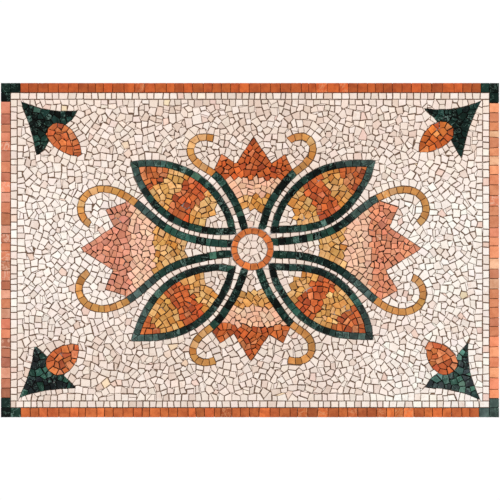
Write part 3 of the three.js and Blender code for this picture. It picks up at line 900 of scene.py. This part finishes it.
def cream(u, w):
    side = ease(abs(u), 90, 330) * (1 - 0.85 * ease(abs(w), 60, 230))
    side = max(side, 1.0 * ease(u, 60, 300) * ease(-w, 20, 200), 0.3 * ease(-w, 100, 260))
    base = np.array([238, 220, 207]) * (1 - side) + np.array([251, 241, 234]) * side
    base = np.minimum(base * (1 + 0.025 * ease(u, 60, 330)), 255)
    roll = rng.random()
    if roll < 0.030:
        return pick((238, 210, 196), 0.02, 0.006)   # pinkish stray
    if roll < 0.034:
        return pick((244, 220, 188), 0.02, 0.006)   # yellowish stray
    if roll < 0.12:
        return pick(base * (0.955, 0.93, 0.915), 0.015, 0.003)   # duller
    if roll < 0.30:
        return pick(base * 0.4 + np.array([251, 240, 232]) * 0.6, 0.006, 0.003)   # near white
    return pick(base, 0.020, 0.004)


def green(grey=0.0, plain=False, slate=None):
    roll = rng.random() * (0.9 if plain else 1.0)
    if slate is not None:
        # the two lower calyxes: mostly charcoal, with green ones between
        if roll < 0.58:
            return pick(slate[0], 0.16, 0.02)
        return pick(slate[1], 0.22, 0.02) if roll < 0.86 else pick(slate[2], 0.12, 0.02)
    if roll < 0.30:
        c = pick((13, 20, 18), 0.25, 0.02)
    elif roll < 0.84:
        c = pick((24, 46, 40), 0.22, 0.02)
    elif roll < 0.965:
        c = pick((42, 76, 66), 0.16, 0.02)
    else:
        c = pick((68, 102, 88), 0.12, 0.02)
    return c * (1 - grey) + np.array([86, 101, 98]) * grey * math.exp(rng.normal(0, 0.20))


def gold(k=1.0):
    roll = rng.random()
    if roll < 0.52:
        c = pick((224, 165, 92), 0.06, 0.014)
    elif roll < 0.84:
        c = pick((235, 186, 124), 0.05, 0.012)
    else:
        c = pick((210, 138, 62), 0.06, 0.014)
    return np.clip(c * k, 0, 255)


ORANGE = ((206, 108, 52), (197, 94, 42), (213, 129, 82), (182, 82, 42))
def orange(shift=(0, 0, 0), spread=0.07):
    m = ORANGE[rng.choice(4, p=(0.4, 0.27, 0.2, 0.13))]
    return pick(np.array(m) + shift, spread, 0.016)


curl_rng = np.random.default_rng(31)


def tone_of(rid, u, w, i):
    r0 = REGIONS[rid]
    t = r0["tone"]
    if t == "cream":
        return cream(u, w), "cream"
    if t == "green":
        grey = 0.0
        d = math.hypot(u - RING_AT[0], w - RING_AT[1])
        if r0["name"].startswith("band"):
            grey = np.clip((d - 165) / 45, 0, 0.75) if "outer" in r0["name"] else 0.0
        elif r0["name"].startswith("leaf"):
            grey = np.clip((d - 205) / 55, 0, 0.55) + (0.12 if r0["q"].startswith("bottom") else 0)
        elif r0["name"].startswith("calyx"):
            slate = {"bottom_left": ((30, 35, 38), (38, 70, 60), (70, 108, 94)),
                     "bottom_right": ((58, 66, 68), (56, 84, 76), (104, 138, 126))}.get(r0["q"])
            return green(0.0, False, slate), "green"
        return green(grey), "green"
    if t == "corner":
        g = {"top_left": 0.0, "top_right": 0.0, "bottom_left": 0.1, "bottom_right": 0.7}[r0["q"]]
        return green(g, True), "green"
    if t == "curl":
        m = np.array((214, 152, 84) if abs(w) > 60 else (218, 163, 104), float)
        roll = curl_rng.random()
        if roll < 0.2:
            m = m * 0.5 + np.array([232, 194, 150]) * 0.5   # paler
        elif roll > 0.88:
            m = m * (0.95, 0.88, 0.72)                      # deeper
        return pick(m, 0.07, 0.014), "gold"
    if t == "ring":
        return pick((216, 122, 60), 0.07, 0.015), "orange"
    if t == "bud":
        return (orange((10, 12, 14)) if r0["q"] != "top_right" else orange((22, 16, 0))), "orange"
    if t == "border_top":
        return pick((197, 95, 42), 0.06, 0.014), "orange"
    if t == "border_bottom":
        return pick((207, 110, 58), 0.09, 0.016), "orange"
    if t == "border_left":
        return (pick((204, 128, 98), 0.08, 0.016) if rng.random() < 0.8 else pick((222, 160, 134), 0.04, 0.012)), "salmon"
    if t == "border_right":
        return (pick((233, 150, 110), 0.08, 0.016) if rng.random() < 0.92 else pick((240, 184, 150), 0.04, 0.012)), "salmon"
    if t == "leaf":
        axis = r0["tip"] - r0["base"]
        share = float(np.dot(np.array([u, w]) - r0["base"], axis) / np.dot(axis, axis))
        s = r0["shares"]
        if share < s[0]:
            return cream(u, w), "cream"
        if share < s[1] or s[2] <= share < s[3]:
            return gold(), "gold"
        if share < s[2]:
            return orange((4, -2, 0), 0.08), "orange"
        return orange((4, 8, 8)), "orange"
    if t == "tulip":
        far = float(np.dot(np.array([u, w]) - RING_AT, r0["out"]))
        a, b, c = r0["cuts"]
        side = r0["tulip"] in ("left", "right")
        if far > a:
            if not side:
                return orange((4, -2, -4) if r0["tulip"] == "top" else (4, 3, 0)), "orange"
            return pick((222, 150, 122) if r0["tulip"] == "left" else (234, 154, 118), 0.06, 0.016), "salmon"
        if far > b:
            return (pick((245, 196, 168) if side else (244, 192, 160), 0.04, 0.012) if rng.random() < 0.86 else pick((242, 202, 172), 0.03, 0.01)), "pink"
        if far > c:
            return gold(), "gold"
        return cream(u, w), "cream"
    return np.array([200, 200, 200]), "cream"


# ---- stones as bodies --------------------------------------------------------------------------
class Pile:
    """Many stones in one mesh, with a tint and a place in the quarry block for each."""

    def __init__(self):
        self.v, self.f3, self.f4, self.tint, self.seed, self.uv, self.top = [], [], [], [], [], [], []
        self.n = 0
        self.count = 0


def round_outline(p, chip):
    """A cut stone's outline: corners nipped, edges slightly uneven, as points every few millimetres."""
    n = len(p)
    out = []
    for i in range(n):
        a, b, c = np.array(p[i - 1]), np.array(p[i]), np.array(p[(i + 1) % n])
        la, lc = np.hypot(*(a - b)), np.hypot(*(c - b))
        t = chip * (0.5 + 1.1 * rng.random())
        if rng.random() < 0.07:
            t *= 3.2
        ta, tc = min(t / la, 0.3), min(t / lc, 0.3)
        out.append((b + (a - b) * ta, 0.0))
        out.append((b + (c - b) * tc, 0.0))
        run = lc * (1 - tc) - min(chip, lc * 0.3)
        k = int(run // 4.2)
        e = (c - b) / lc
        nrm = np.array([e[1], -e[0]])
        for j in range(1, k + 1):
            q = b + e * (lc * tc + run * j / (k + 1))
            out.append((q - nrm * abs(rng.normal(0, 0.13)), 1.0))
    return np.array([q for q, _ in out])


def add_stone(pile, p, tint, hard):
    o = round_outline(p, 0.26 if hard else 0.34)
    m = len(o)
    c = o.mean(0)
    prev, nxt = np.roll(o, 1, 0), np.roll(o, -1, 0)
    e = nxt - prev
    nrm = np.column_stack([e[:, 1], -e[:, 0]])
    nrm /= np.maximum(np.hypot(nrm[:, 0], nrm[:, 1]), 1e-6)[:, None]
    lift = 0.12 + abs(rng.normal(0, 0.16)) * (0.5 if hard else 1.0)
    tilt = rng.normal(0, 0.010 if hard else 0.016, 2)
    def level(q, drop):
        y = FRONT + lift + drop + (q - c) @ tilt
        return np.maximum(y, FRONT + 0.03)
    bev = (0.20 if hard else 0.26) * (0.7 + 0.6 * rng.random(m))
    small = min(1.0, math.sqrt(poly_area(p)) / 9)
    rings = []
    to_c = c - o
    far_c = np.maximum(np.hypot(to_c[:, 0], to_c[:, 1]), 1e-6)[:, None]
    q0 = o + to_c * np.minimum(2.0 * small / far_c, 0.45)
    rings.append((q0, level(q0, 0.0) + abs(rng.normal(0, 0.03, m))))
    q1 = o + to_c * np.minimum(1.25 * bev[:, None] / far_c, 0.2)
    rings.append((q1, level(q1, 0.03) + abs(rng.normal(0, 0.02, m))))
    rings.append((o, level(o, 0.28 + 0.2 * rng.random(m))))
    q4 = o + nrm * (0.12 + 0.10 * rng.random(m))[:, None] * (0.0 if hard else 1.0)
    rings.append((q4, level(o, 2.9)))
    base = pile.n
    vs = [np.column_stack([c[0], float(level(c[None], -0.01)[0]), c[1]]).reshape(1, 3)]
    for q, y in rings:
        vs.append(np.column_stack([q[:, 0], y, q[:, 1]]))
    qb = o + to_c * np.minimum(0.5 / far_c, 0.2)
    vs.append(np.column_stack([qb[:, 0], np.full(m, STONE_BACK), qb[:, 1]]))
    vs.append(np.array([[c[0], STONE_BACK, c[1]]]))
    v = np.vstack(vs)
    pile.v.append(v)
    j = np.arange(m)
    k = (j + 1) % m
    nr = len(rings) + 1
    pile.f3.append(np.column_stack([np.full(m, base), base + 1 + j, base + 1 + k]))
    for r_ in range(nr - 1):
        a = base + 1 + r_ * m
        b = a + m
        pile.f4.append(np.column_stack([a + j, b + j, b + k, a + k]))
        pile.top.append(np.full(m, r_ == 0))
    last = base + 1 + (nr - 1) * m
    pile.f3.append(np.column_stack([np.full(m, base + 1 + nr * m), last + k, last + j]))
    n = len(v)
    streaked = 1.0 if rng.random() < (0.11 if hard else 0.05) else 0.0
    pile.tint.append(np.tile(np.append(lin(*tint), streaked), (n, 1)))
    pile.seed.append(np.tile(rng.random(3), (n, 1)))
    hidden = np.zeros(n, bool)
    hidden[1 + len(rings) * m:] = True
    pile.uv.append(np.column_stack([v[:, 0], v[:, 2], hidden]))
    pile.n += n
    pile.count += 1


piles = {}
carried = {}
for i, p in outlines:
    rid = STONES[i]
    r0 = REGIONS[rid]
    u, w = np.mean([q[0] for q in p]), np.mean([q[1] for q in p])
    tint, stuff = tone_of(rid, u, w, i)
    name = r0["name"]
    nodes = [r0["node"]] if "node" in r0 else []
    if name == "cream_field":
        name = "field_" + ("upper_" if w > 0 else "lower_") + ("left" if u < 0 else "right")
        nodes = ["cream_field"]
    elif r0["tone"] == "leaf":
        name = f"leaf_fill_{r0['q']}_{stuff}"
        nodes = ["leaf_fill_" + r0["q"]]
    elif r0["tone"] == "tulip":
        part = {"orange": "crown", "salmon": "crown"}.get(stuff, stuff)
        name = f"tulip_{part}_{r0['tulip']}_stones"
        nodes = [f"tulip_{part}_{r0['tulip']}"]
    else:
        name = name + "_stones"
    key = (name, stuff)
    if key not in piles:
        piles[key] = Pile()
        carried[key] = nodes
    add_stone(piles[key], p, tint, stuff == "green" or r0["name"].startswith("border"))

# ---- materials -----------------------------------------------------------------------------------
def nodes_of(name):
    mat = bpy.data.materials.new(name)
    mat.use_nodes = True
    nt = mat.node_tree
    nt.nodes.clear()
    out = nt.nodes.new("ShaderNodeOutputMaterial")
    bsdf = nt.nodes.new("ShaderNodeBsdfPrincipled")
    nt.links.new(bsdf.outputs[0], out.inputs[0])
    return mat, nt, bsdf


def add(nt, kind, **inputs):
    n = nt.nodes.new(kind)
    for k, v in inputs.items():
        if k.startswith("_"):
            setattr(n, k[1:], v)
        else:
            sock = n.inputs[int(k[1:])] if k[0] == "i" and k[1:].isdigit() else n.inputs[k]
            if isinstance(v, bpy.types.NodeSocket):
                nt.links.new(v, sock)
            else:
                sock.default_value = v
    return n


def math_node(nt, op, a, b=None, c=None, clamp=False):
    n = nt.nodes.new("ShaderNodeMath")
    n.operation = op
    n.use_clamp = clamp
    for k, v in enumerate((a, b, c)):
        if v is None:
            continue
        if isinstance(v, bpy.types.NodeSocket):
            nt.links.new(v, n.inputs[k])
        else:
            n.inputs[k].default_value = v
    return n.outputs[0]


def mix(nt, fac, a, b, blend="MIX"):
    n = nt.nodes.new("ShaderNodeMix")
    n.data_type = "RGBA"
    n.blend_type = blend
    for sock, v in ((n.inputs[0], fac), (n.inputs[6], a), (n.inputs[7], b)):
        if isinstance(v, bpy.types.NodeSocket):
            nt.links.new(v, sock)
        else:
            sock.default_value = v if isinstance(v, (int, float)) else (*v, 1.0)
    return n.outputs[2]


def ramp(nt, fac, lo, hi):
    n = nt.nodes.new("ShaderNodeMapRange")
    n.interpolation_type = "SMOOTHSTEP"
    nt.links.new(fac, n.inputs[0])
    n.inputs[1].default_value, n.inputs[2].default_value = lo, hi
    n.inputs[3].default_value, n.inputs[4].default_value = 0.0, 1.0
    return n.outputs[0]


def noise(nt, vec, scale, detail=3.0, rough=0.55, distort=0.0):
    n = add(nt, "ShaderNodeTexNoise", Vector=vec, Scale=scale, Detail=detail, Roughness=rough, Distortion=distort)
    return n.outputs[0]


def stone_material(name, vein, vein_scale, vein_width, vein_amount, cloud, cloud_amount, speck, rough, bump, gloss, streak, streak_amount):
    """Cut marble: the stone's own tint, clouds, veins and specks taken from its own place in the block."""
    mat, nt, bsdf = nodes_of(name)
    geo = nt.nodes.new("ShaderNodeTexCoord").outputs["Object"]
    seed = add(nt, "ShaderNodeAttribute", _attribute_name="seed").outputs["Vector"]
    tint_node = add(nt, "ShaderNodeAttribute", _attribute_name="tint")
    tint, streaked = tint_node.outputs["Color"], tint_node.outputs["Alpha"]
    shift = nt.nodes.new("ShaderNodeVectorMath")
    shift.operation = "SCALE"
    nt.links.new(seed, shift.inputs[0])
    shift.inputs["Scale"].default_value = 3.0
    place = nt.nodes.new("ShaderNodeVectorMath")
    place.operation = "ADD"
    nt.links.new(geo, place.inputs[0])
    nt.links.new(shift.outputs[0], place.inputs[1])
    p = place.outputs[0]
    clouds = ramp(nt, noise(nt, p, 90.0, 4.0, 0.6), 0.34, 0.68)
    colour = mix(nt, math_node(nt, "MULTIPLY", clouds, cloud_amount), tint, cloud, "MULTIPLY")
    wave = noise(nt, p, vein_scale, 5.0, 0.62, 0.8)
    dist = math_node(nt, "ABSOLUTE", math_node(nt, "SUBTRACT", wave, 0.5))
    line = math_node(nt, "SUBTRACT", 1.0, ramp(nt, dist, 0.0, vein_width))
    gate = ramp(nt, noise(nt, p, vein_scale * 0.6, 2.0), 0.46, 0.62)
    line = math_node(nt, "MULTIPLY", math_node(nt, "MULTIPLY", line, gate), vein_amount)
    colour = mix(nt, line, colour, vein)
    band = noise(nt, p, vein_scale * 0.55, 2.0, 0.5, 1.2)
    band = math_node(nt, "SUBTRACT", 1.0, ramp(nt, math_node(nt, "ABSOLUTE", math_node(nt, "SUBTRACT", band, 0.5)), 0.0, 0.050))
    colour = mix(nt, math_node(nt, "MULTIPLY", math_node(nt, "MULTIPLY", band, streaked), streak_amount), colour, streak)
    grain = ramp(nt, noise(nt, p, 1500.0, 2.0, 0.7), 0.3, 0.75)
    colour = mix(nt, math_node(nt, "MULTIPLY", grain, speck), colour, (0.62, 0.56, 0.52), "MULTIPLY")
    nt.links.new(colour, bsdf.inputs["Base Color"])
    rgh = math_node(nt, "MULTIPLY_ADD", clouds, 0.12, rough - 0.06)
    nt.links.new(math_node(nt, "MULTIPLY_ADD", grain, 0.10, rgh), bsdf.inputs["Roughness"])
    pits = ramp(nt, noise(nt, p, 700.0, 3.0, 0.6), 0.30, 0.46)
    height = math_node(nt, "ADD", math_node(nt, "MULTIPLY", pits, 0.6), math_node(nt, "MULTIPLY", noise(nt, p, 260.0, 3.0), 0.8))
    b = add(nt, "ShaderNodeBump", Strength=bump, Distance=0.0004, Height=height)
    nt.links.new(b.outputs[0], bsdf.inputs["Normal"])
    bsdf.inputs["Specular IOR Level"].default_value = gloss
    return mat


MATS = {
    "cream": stone_material("cream marble", (0.66, 0.50, 0.42), 130.0, 0.020, 0.55, (0.90, 0.86, 0.82), 0.55, 0.16, 0.50, 0.35, 0.20, (0.72, 0.52, 0.42), 0.5),
    "orange": stone_material("orange marble", (0.30, 0.07, 0.025), 150.0, 0.030, 0.60, (0.66, 0.52, 0.42), 0.75, 0.28, 0.45, 0.35, 0.18, (0.72, 0.34, 0.16), 0.55),
    "salmon": stone_material("salmon marble", (0.62, 0.22, 0.12), 140.0, 0.030, 0.55, (0.78, 0.66, 0.58), 0.75, 0.22, 0.48, 0.35, 0.18, (0.86, 0.56, 0.42), 0.55),
    "pink": stone_material("pink marble", (0.66, 0.34, 0.22), 130.0, 0.024, 0.50, (0.88, 0.77, 0.70), 0.60, 0.16, 0.48, 0.35, 0.20, (0.90, 0.68, 0.54), 0.5),
    "gold": stone_material("gold marble", (0.36, 0.17, 0.05), 150.0, 0.030, 0.55, (0.78, 0.64, 0.48), 0.75, 0.24, 0.45, 0.35, 0.18, (0.86, 0.66, 0.42), 0.55),
    "green": stone_material("green marble", (0.20, 0.36, 0.29), 110.0, 0.022, 0.70, (0.40, 0.46, 0.44), 0.85, 0.20, 0.40, 0.25, 0.05, (0.17, 0.28, 0.24), 0.6),
}


def mortar_material():
    mat, nt, bsdf = nodes_of("bed mortar")
    p = nt.nodes.new("ShaderNodeTexCoord").outputs["Object"]
    smear = add(nt, "ShaderNodeAttribute", _attribute_name="smear").outputs["Fac"]
    dark = add(nt, "ShaderNodeAttribute", _attribute_name="dark").outputs["Fac"]
    broad = ramp(nt, noise(nt, p, 25.0, 3.0), 0.35, 0.65)
    colour = mix(nt, broad, (0.175, 0.105, 0.068), (0.245, 0.160, 0.108))
    grit = ramp(nt, noise(nt, p, 1100.0, 3.0, 0.7), 0.35, 0.7)
    colour = mix(nt, math_node(nt, "MULTIPLY", grit, 0.5), colour, (0.17, 0.11, 0.08))
    # Painted shade: under coloured stones the joint mortar is darkened, and under green ones turned near black, by the
    # per-point shade value, in place of the shade that falls in narrow joints; the mortar itself is one colour.
    colour = mix(nt, dark, colour, (0.030, 0.011, 0.006))
    painted_deep_shadow = math_node(nt, "MULTIPLY", ramp(nt, dark, 0.86, 0.98), 0.85)
    colour = mix(nt, painted_deep_shadow, colour, (0.006, 0.007, 0.006))
    blot = ramp(nt, noise(nt, p, 160.0, 3.0), 0.40, 0.56)
    colour = mix(nt, math_node(nt, "MULTIPLY", smear, blot), colour, (0.60, 0.58, 0.57))
    nt.links.new(colour, bsdf.inputs["Base Color"])
    nt.links.new(math_node(nt, "MULTIPLY_ADD", grit, 0.1, 0.82), bsdf.inputs["Roughness"])
    height = math_node(nt, "ADD", math_node(nt, "MULTIPLY", grit, 0.5), noise(nt, p, 300.0, 4.0))
    b = add(nt, "ShaderNodeBump", Strength=0.6, Distance=0.0008, Height=height)
    nt.links.new(b.outputs[0], bsdf.inputs["Normal"])
    bsdf.inputs["Specular IOR Level"].default_value = 0.15
    return mat


# ---- meshes ----------------------------------------------------------------------------------------
def link(name, verts, tris, quads, material, smooth=None):
    me = bpy.data.meshes.new(name)
    verts = np.asarray(verts, np.float32)
    nt3, nt4 = len(tris), len(quads)
    loops = np.concatenate([np.asarray(tris, np.int32).ravel(), np.asarray(quads, np.int32).ravel()])
    me.vertices.add(len(verts))
    me.vertices.foreach_set("co", (verts * 0.001).ravel())
    me.loops.add(len(loops))
    me.loops.foreach_set("vertex_index", loops)
    me.polygons.add(nt3 + nt4)
    me.polygons.foreach_set("loop_start", np.concatenate([np.arange(nt3) * 3, nt3 * 3 + np.arange(nt4) * 4]).astype(np.int32))
    me.polygons.foreach_set("loop_total", np.concatenate([np.full(nt3, 3), np.full(nt4, 4)]).astype(np.int32))
    if smooth is not None:
        me.polygons.foreach_set("use_smooth", smooth)
    me.materials.append(material)
    me.update(calc_edges=True)
    ob = bpy.data.objects.new(name, me)
    bpy.context.scene.collection.objects.link(ob)
    return ob, loops


def attribute(me, name, kind, values):
    a = me.attributes.new(name, kind, "POINT")
    a.data.foreach_set("color" if kind == "FLOAT_COLOR" else "vector" if kind == "FLOAT_VECTOR" else "value", np.asarray(values, np.float32).ravel())


def lay_map(me, loops, uvh, share=0.934):
    """Flat map: the face takes this share of the height, and the backs get what is left."""
    lo, hi = uvh[:, :2].min(0), uvh[:, :2].max(0)
    t = (uvh[:, :2] - lo) / np.maximum(hi - lo, 1e-6)
    face = np.column_stack([0.004 + 0.992 * t[:, 0], 0.004 + (share - 0.004) * t[:, 1]])
    back = np.column_stack([0.004 + 0.992 * t[:, 0], share + 0.016 + (0.979 - share) * t[:, 1]])
    hidden = uvh[:, 2] > 0.5
    uv = np.where(hidden[:, None], back, face)
    layer = me.uv_layers.new(name="OFBake")
    per_loop = uv[loops]
    starts_ = np.zeros(len(me.polygons), np.int32)
    me.polygons.foreach_get("loop_start", starts_)
    totals_ = np.zeros(len(me.polygons), np.int32)
    me.polygons.foreach_get("loop_total", totals_)
    # a side face that runs from the face to the back keeps to the back's strip
    any_hidden = np.maximum.reduceat(hidden[loops].astype(np.int8), starts_) > 0
    use_back = np.repeat(any_hidden, totals_)
    per_loop = np.where(use_back[:, None], back[loops], per_loop)
    layer.data.foreach_set("uv", per_loop.astype(np.float32).ravel())


made = []
for key, pile in piles.items():
    name, stuff = key
    if pile.count == 0:
        continue
    v = np.vstack(pile.v)
    f3, f4 = np.vstack(pile.f3), np.vstack(pile.f4)
    ob, loops = link(name, v, f3, f4, MATS[stuff], np.concatenate([np.ones(len(f3), bool), np.concatenate(pile.top)]))
    attribute(ob.data, "tint", "FLOAT_COLOR", np.vstack(pile.tint))
    attribute(ob.data, "seed", "FLOAT_VECTOR", np.vstack(pile.seed))
    lay_map(ob.data, loops, np.vstack(pile.uv))
    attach(ob, "root")
    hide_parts(*carried[key])
    made.append((name, pile.count, len(f3) + 2 * len(f4)))

# ---- mortar bed ----------------------------------------------------------------------------------
BN, BM = 300, 201
bu = np.linspace(-PANEL_W / 2 + 0.4, PANEL_W / 2 - 0.4, BN + 1)
bw = np.linspace(-PANEL_H / 2 + 0.4, PANEL_H / 2 - 0.4, BM + 1)
U, V = np.meshgrid(bu, bw)
ix = np.clip(((U + PANEL_W / 2) / G).astype(int), 0, NX - 1)
iz = np.clip(((V + PANEL_H / 2) / G).astype(int), 0, NZ - 1)
over = region[iz, ix]
# Painted shade in the joints, by region: none under the cream field, full under green stones and corner blocks, less
# under the ring, the curls and the other colours.
dark_of = np.array([{"cream": 0.0, "green": 1.0, "corner": 1.0}.get(r0.get("tone"), 0.8) for r0 in REGIONS])
dark_of[0] = 0.0
for i, r0 in enumerate(REGIONS):
    if r0["name"] in ("centre_ring",) or r0.get("tone") == "curl":
        dark_of[i] = 0.45
dark = dark_of[over]
for i, r0 in enumerate(REGIONS):
    here = over == i
    if not i or not here.any():
        continue
    if r0.get("tone") == "tulip":
        far = (U[here] - RING_AT[0]) * r0["out"][0] + (V[here] - RING_AT[1]) * r0["out"][1]
        a, b, c = r0["cuts"]
        dark[here] = np.select([far > a, far > b, far > c], [0.92, 0.5, 0.78], 0.1)
    elif r0.get("tone") == "leaf":
        axis = r0["tip"] - r0["base"]
        far = ((U[here] - r0["base"][0]) * axis[0] + (V[here] - r0["base"][1]) * axis[1]) / float(np.dot(axis, axis))
        dark[here] = np.where(far < r0["shares"][0], 0.1, 0.8)
r_ring = np.hypot(U - RING_AT[0], V - RING_AT[1])
smear = np.clip(1.6 - np.abs(r_ring - 41) / 3.2, 0, 1) + 0.8 * np.clip(1.2 - np.abs(r_ring - 26.5) / 2.6, 0, 1)
for q in LEAVES:
    for line in leaf_sides[q]:
        win, d, s, total = along(line, 9)
        full_d = np.full(region.shape, 99.0, np.float32)
        full_d[win] = np.abs(d)
        smear = np.maximum(smear, np.where(over == FIELD, 0, np.clip(1.3 - full_d[iz, ix] / 4.0, 0, 1) * 0.75))
spots = lumps(U, V, 34, 30, 9)
coloured = (dark > 0.5) & ~np.isin(over, [i for i, r0 in enumerate(REGIONS) if r0.get("tone") in ("green", "corner")])
smear = np.maximum(smear, np.where(coloured, np.clip((spots - 1.25) * 2.2, 0, 1), 0))
in_calyx = np.isin(over, [i for i, r0 in enumerate(REGIONS) if r0["name"].startswith("calyx")])
smear = np.maximum(smear, np.where(in_calyx, np.clip((lumps(U, V, 9, 30, 21) - 1.5) * 1.5, 0, 0.6), 0))
smear = np.maximum(smear, np.where(over == FIELD, np.clip((lumps(U, V, 60, 30, 5) - 1.6) * 1.2, 0, 0.5), 0))
level = GROUT + 0.32 * lumps(U, V, 16) + 0.15 * lumps(U, V, 6, 30, 8) - 1.25 * smear + 0.35 * (dark > 0.5)
rim = np.minimum(PANEL_W / 2 - np.abs(U), PANEL_H / 2 - np.abs(V))
level = np.where(rim < 3.2, level + 1.2, level)
front = np.column_stack([U.ravel(), level.ravel(), V.ravel()])
nf = len(front)
gi = np.arange(nf).reshape(BM + 1, BN + 1)
fq = np.column_stack([gi[:-1, :-1].ravel(), gi[:-1, 1:].ravel(), gi[1:, 1:].ravel(), gi[1:, :-1].ravel()])
# the slab's edge: three rings of uneven mortar round to the flat back
rim_ids = np.concatenate([gi[0, :], gi[1:, -1], gi[-1, -2::-1], gi[-2:0:-1, 0]])
rp = front[rim_ids]
rn = len(rim_ids)
verts, quads, tris = [front], [fq], []
prev = rim_ids
base_id = nf
out_dir = np.column_stack([np.sign(rp[:, 0]) * (np.abs(np.abs(rp[:, 0]) - (PANEL_W / 2 - 0.4)) < 0.1), np.sign(rp[:, 2]) * (np.abs(np.abs(rp[:, 2]) - (PANEL_H / 2 - 0.4)) < 0.1)])
wob = lumps(rp[:, 0], rp[:, 2], 22, 20, 12)
wob2 = lumps(rp[:, 0], rp[:, 2], 9, 20, 13)
for y, inset in ((STONE_BACK - 0.6, 1.0), (STONE_BACK + 0.4, 0.9), (-5.0, 0.9), (-1.2, 1.1), (0.0, 2.2)):
    shift = -(inset - 0.4) + 0.3 * wob * (0.4 + 0.2 * inset) + 0.22 * wob2
    shift = np.minimum(shift, 0.3)
    ring = np.column_stack([rp[:, 0] + out_dir[:, 0] * shift, np.full(rn, y), rp[:, 2] + out_dir[:, 1] * shift])
    ids_ = np.arange(base_id, base_id + rn)
    base_id += rn
    verts.append(ring)
    quads.append(np.column_stack([prev, np.roll(prev, -1), np.roll(ids_, -1), ids_])[:, ::-1])
    prev = ids_
# flat back, as cast on a board
centre = np.array([[0.0, 0.0, 0.0]])
verts.append(centre)
tris = np.column_stack([np.roll(prev, -1), prev, np.full(rn, base_id)])
verts = np.vstack(verts)
quads = np.vstack(quads)
bed, loops = link("mortar_bed_cast", verts, tris, quads, mortar_material(), np.concatenate([np.zeros(len(tris), bool), np.ones(len(quads), bool)]))
pad = len(verts) - nf
attribute(bed.data, "smear", "FLOAT", np.concatenate([smear.ravel(), np.zeros(pad)]))
# The painted joint shade goes to the mortar's material as a point attribute.
attribute(bed.data, "dark", "FLOAT", np.concatenate([dark.ravel(), np.zeros(pad)]))
hid = np.concatenate([np.zeros(nf), np.ones(pad)])
lay_map(bed.data, loops, np.column_stack([verts[:, 0], verts[:, 2], hid]), 0.55)
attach(bed, "root")
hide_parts("mortar_bed")

# any CAD patch that no pile stands for would be a mistake in the layout
shown = [n for n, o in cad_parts.items() if not o.hide_render]
print("CAD nodes still shown:", shown)
print("chips", chips, "stones", sum(m[1] for m in made), "triangles", sum(m[2] for m in made), "largest", max(m[2] for m in made), "pieces", len(made))

# ---- stage, light, camera ----------------------------------------------------------------------
fl = bpy.data.meshes.new("floor")
s = 3.0
fl.from_pydata([(-s, -s, 0), (s, -s, 0), (s, 0.75, 0), (-s, 0.75, 0)], [], [(0, 1, 2, 3)])
floor = bpy.data.objects.new("floor", fl)
floor.location = (0, 0, -0.66)
bpy.context.scene.collection.objects.link(floor)
mat, nt, bsdf = nodes_of("pale floor")
bsdf.inputs["Base Color"].default_value = (0.86, 0.855, 0.85, 1)
bsdf.inputs["Roughness"].default_value = 0.9
fl.materials.append(mat)

world = bpy.data.worlds.new("studio")
bpy.context.scene.world = world
world.use_nodes = True
bg = world.node_tree.nodes["Background"]
bg.inputs[0].default_value = (1, 1, 1, 1)
bg.inputs[1].default_value = 1.02


def lamp(name, place, aim, size, power, colour=(1, 1, 1)):
    data = bpy.data.lights.new(name, "AREA")
    data.shape = "RECTANGLE"
    data.size, data.size_y = size
    data.energy = power
    data.color = colour
    ob = bpy.data.objects.new(name, data)
    bpy.context.scene.collection.objects.link(ob)
    ob.location = place
    d = np.array(aim, float) - np.array(place, float)
    from mathutils import Vector
    ob.rotation_euler = Vector(d).to_track_quat("-Z", "Y").to_euler()
    return ob


lamp("key", (-1.6, -1.9, 1.9), (0, 0, 0), (1.0, 1.0), 16.0, (1.0, 0.985, 0.965))

cam_data = bpy.data.cameras.new("camera")
cam = bpy.data.objects.new("camera", cam_data)
bpy.context.scene.collection.objects.link(cam)
cam_data.sensor_width = 36.0
cam_data.lens = 110.0
view_w = 0.903                       # what the frame takes in at the panel's face
dist = cam_data.lens * view_w / 36.0
cam.location = (0.0001, FRONT * 0.001 - dist, 0.0003)
cam.rotation_euler = (math.pi / 2, 0, 0)
bpy.context.scene.camera = cam
bpy.context.scene.view_settings.view_transform = "Standard"
bpy.context.scene.view_settings.look = "None"
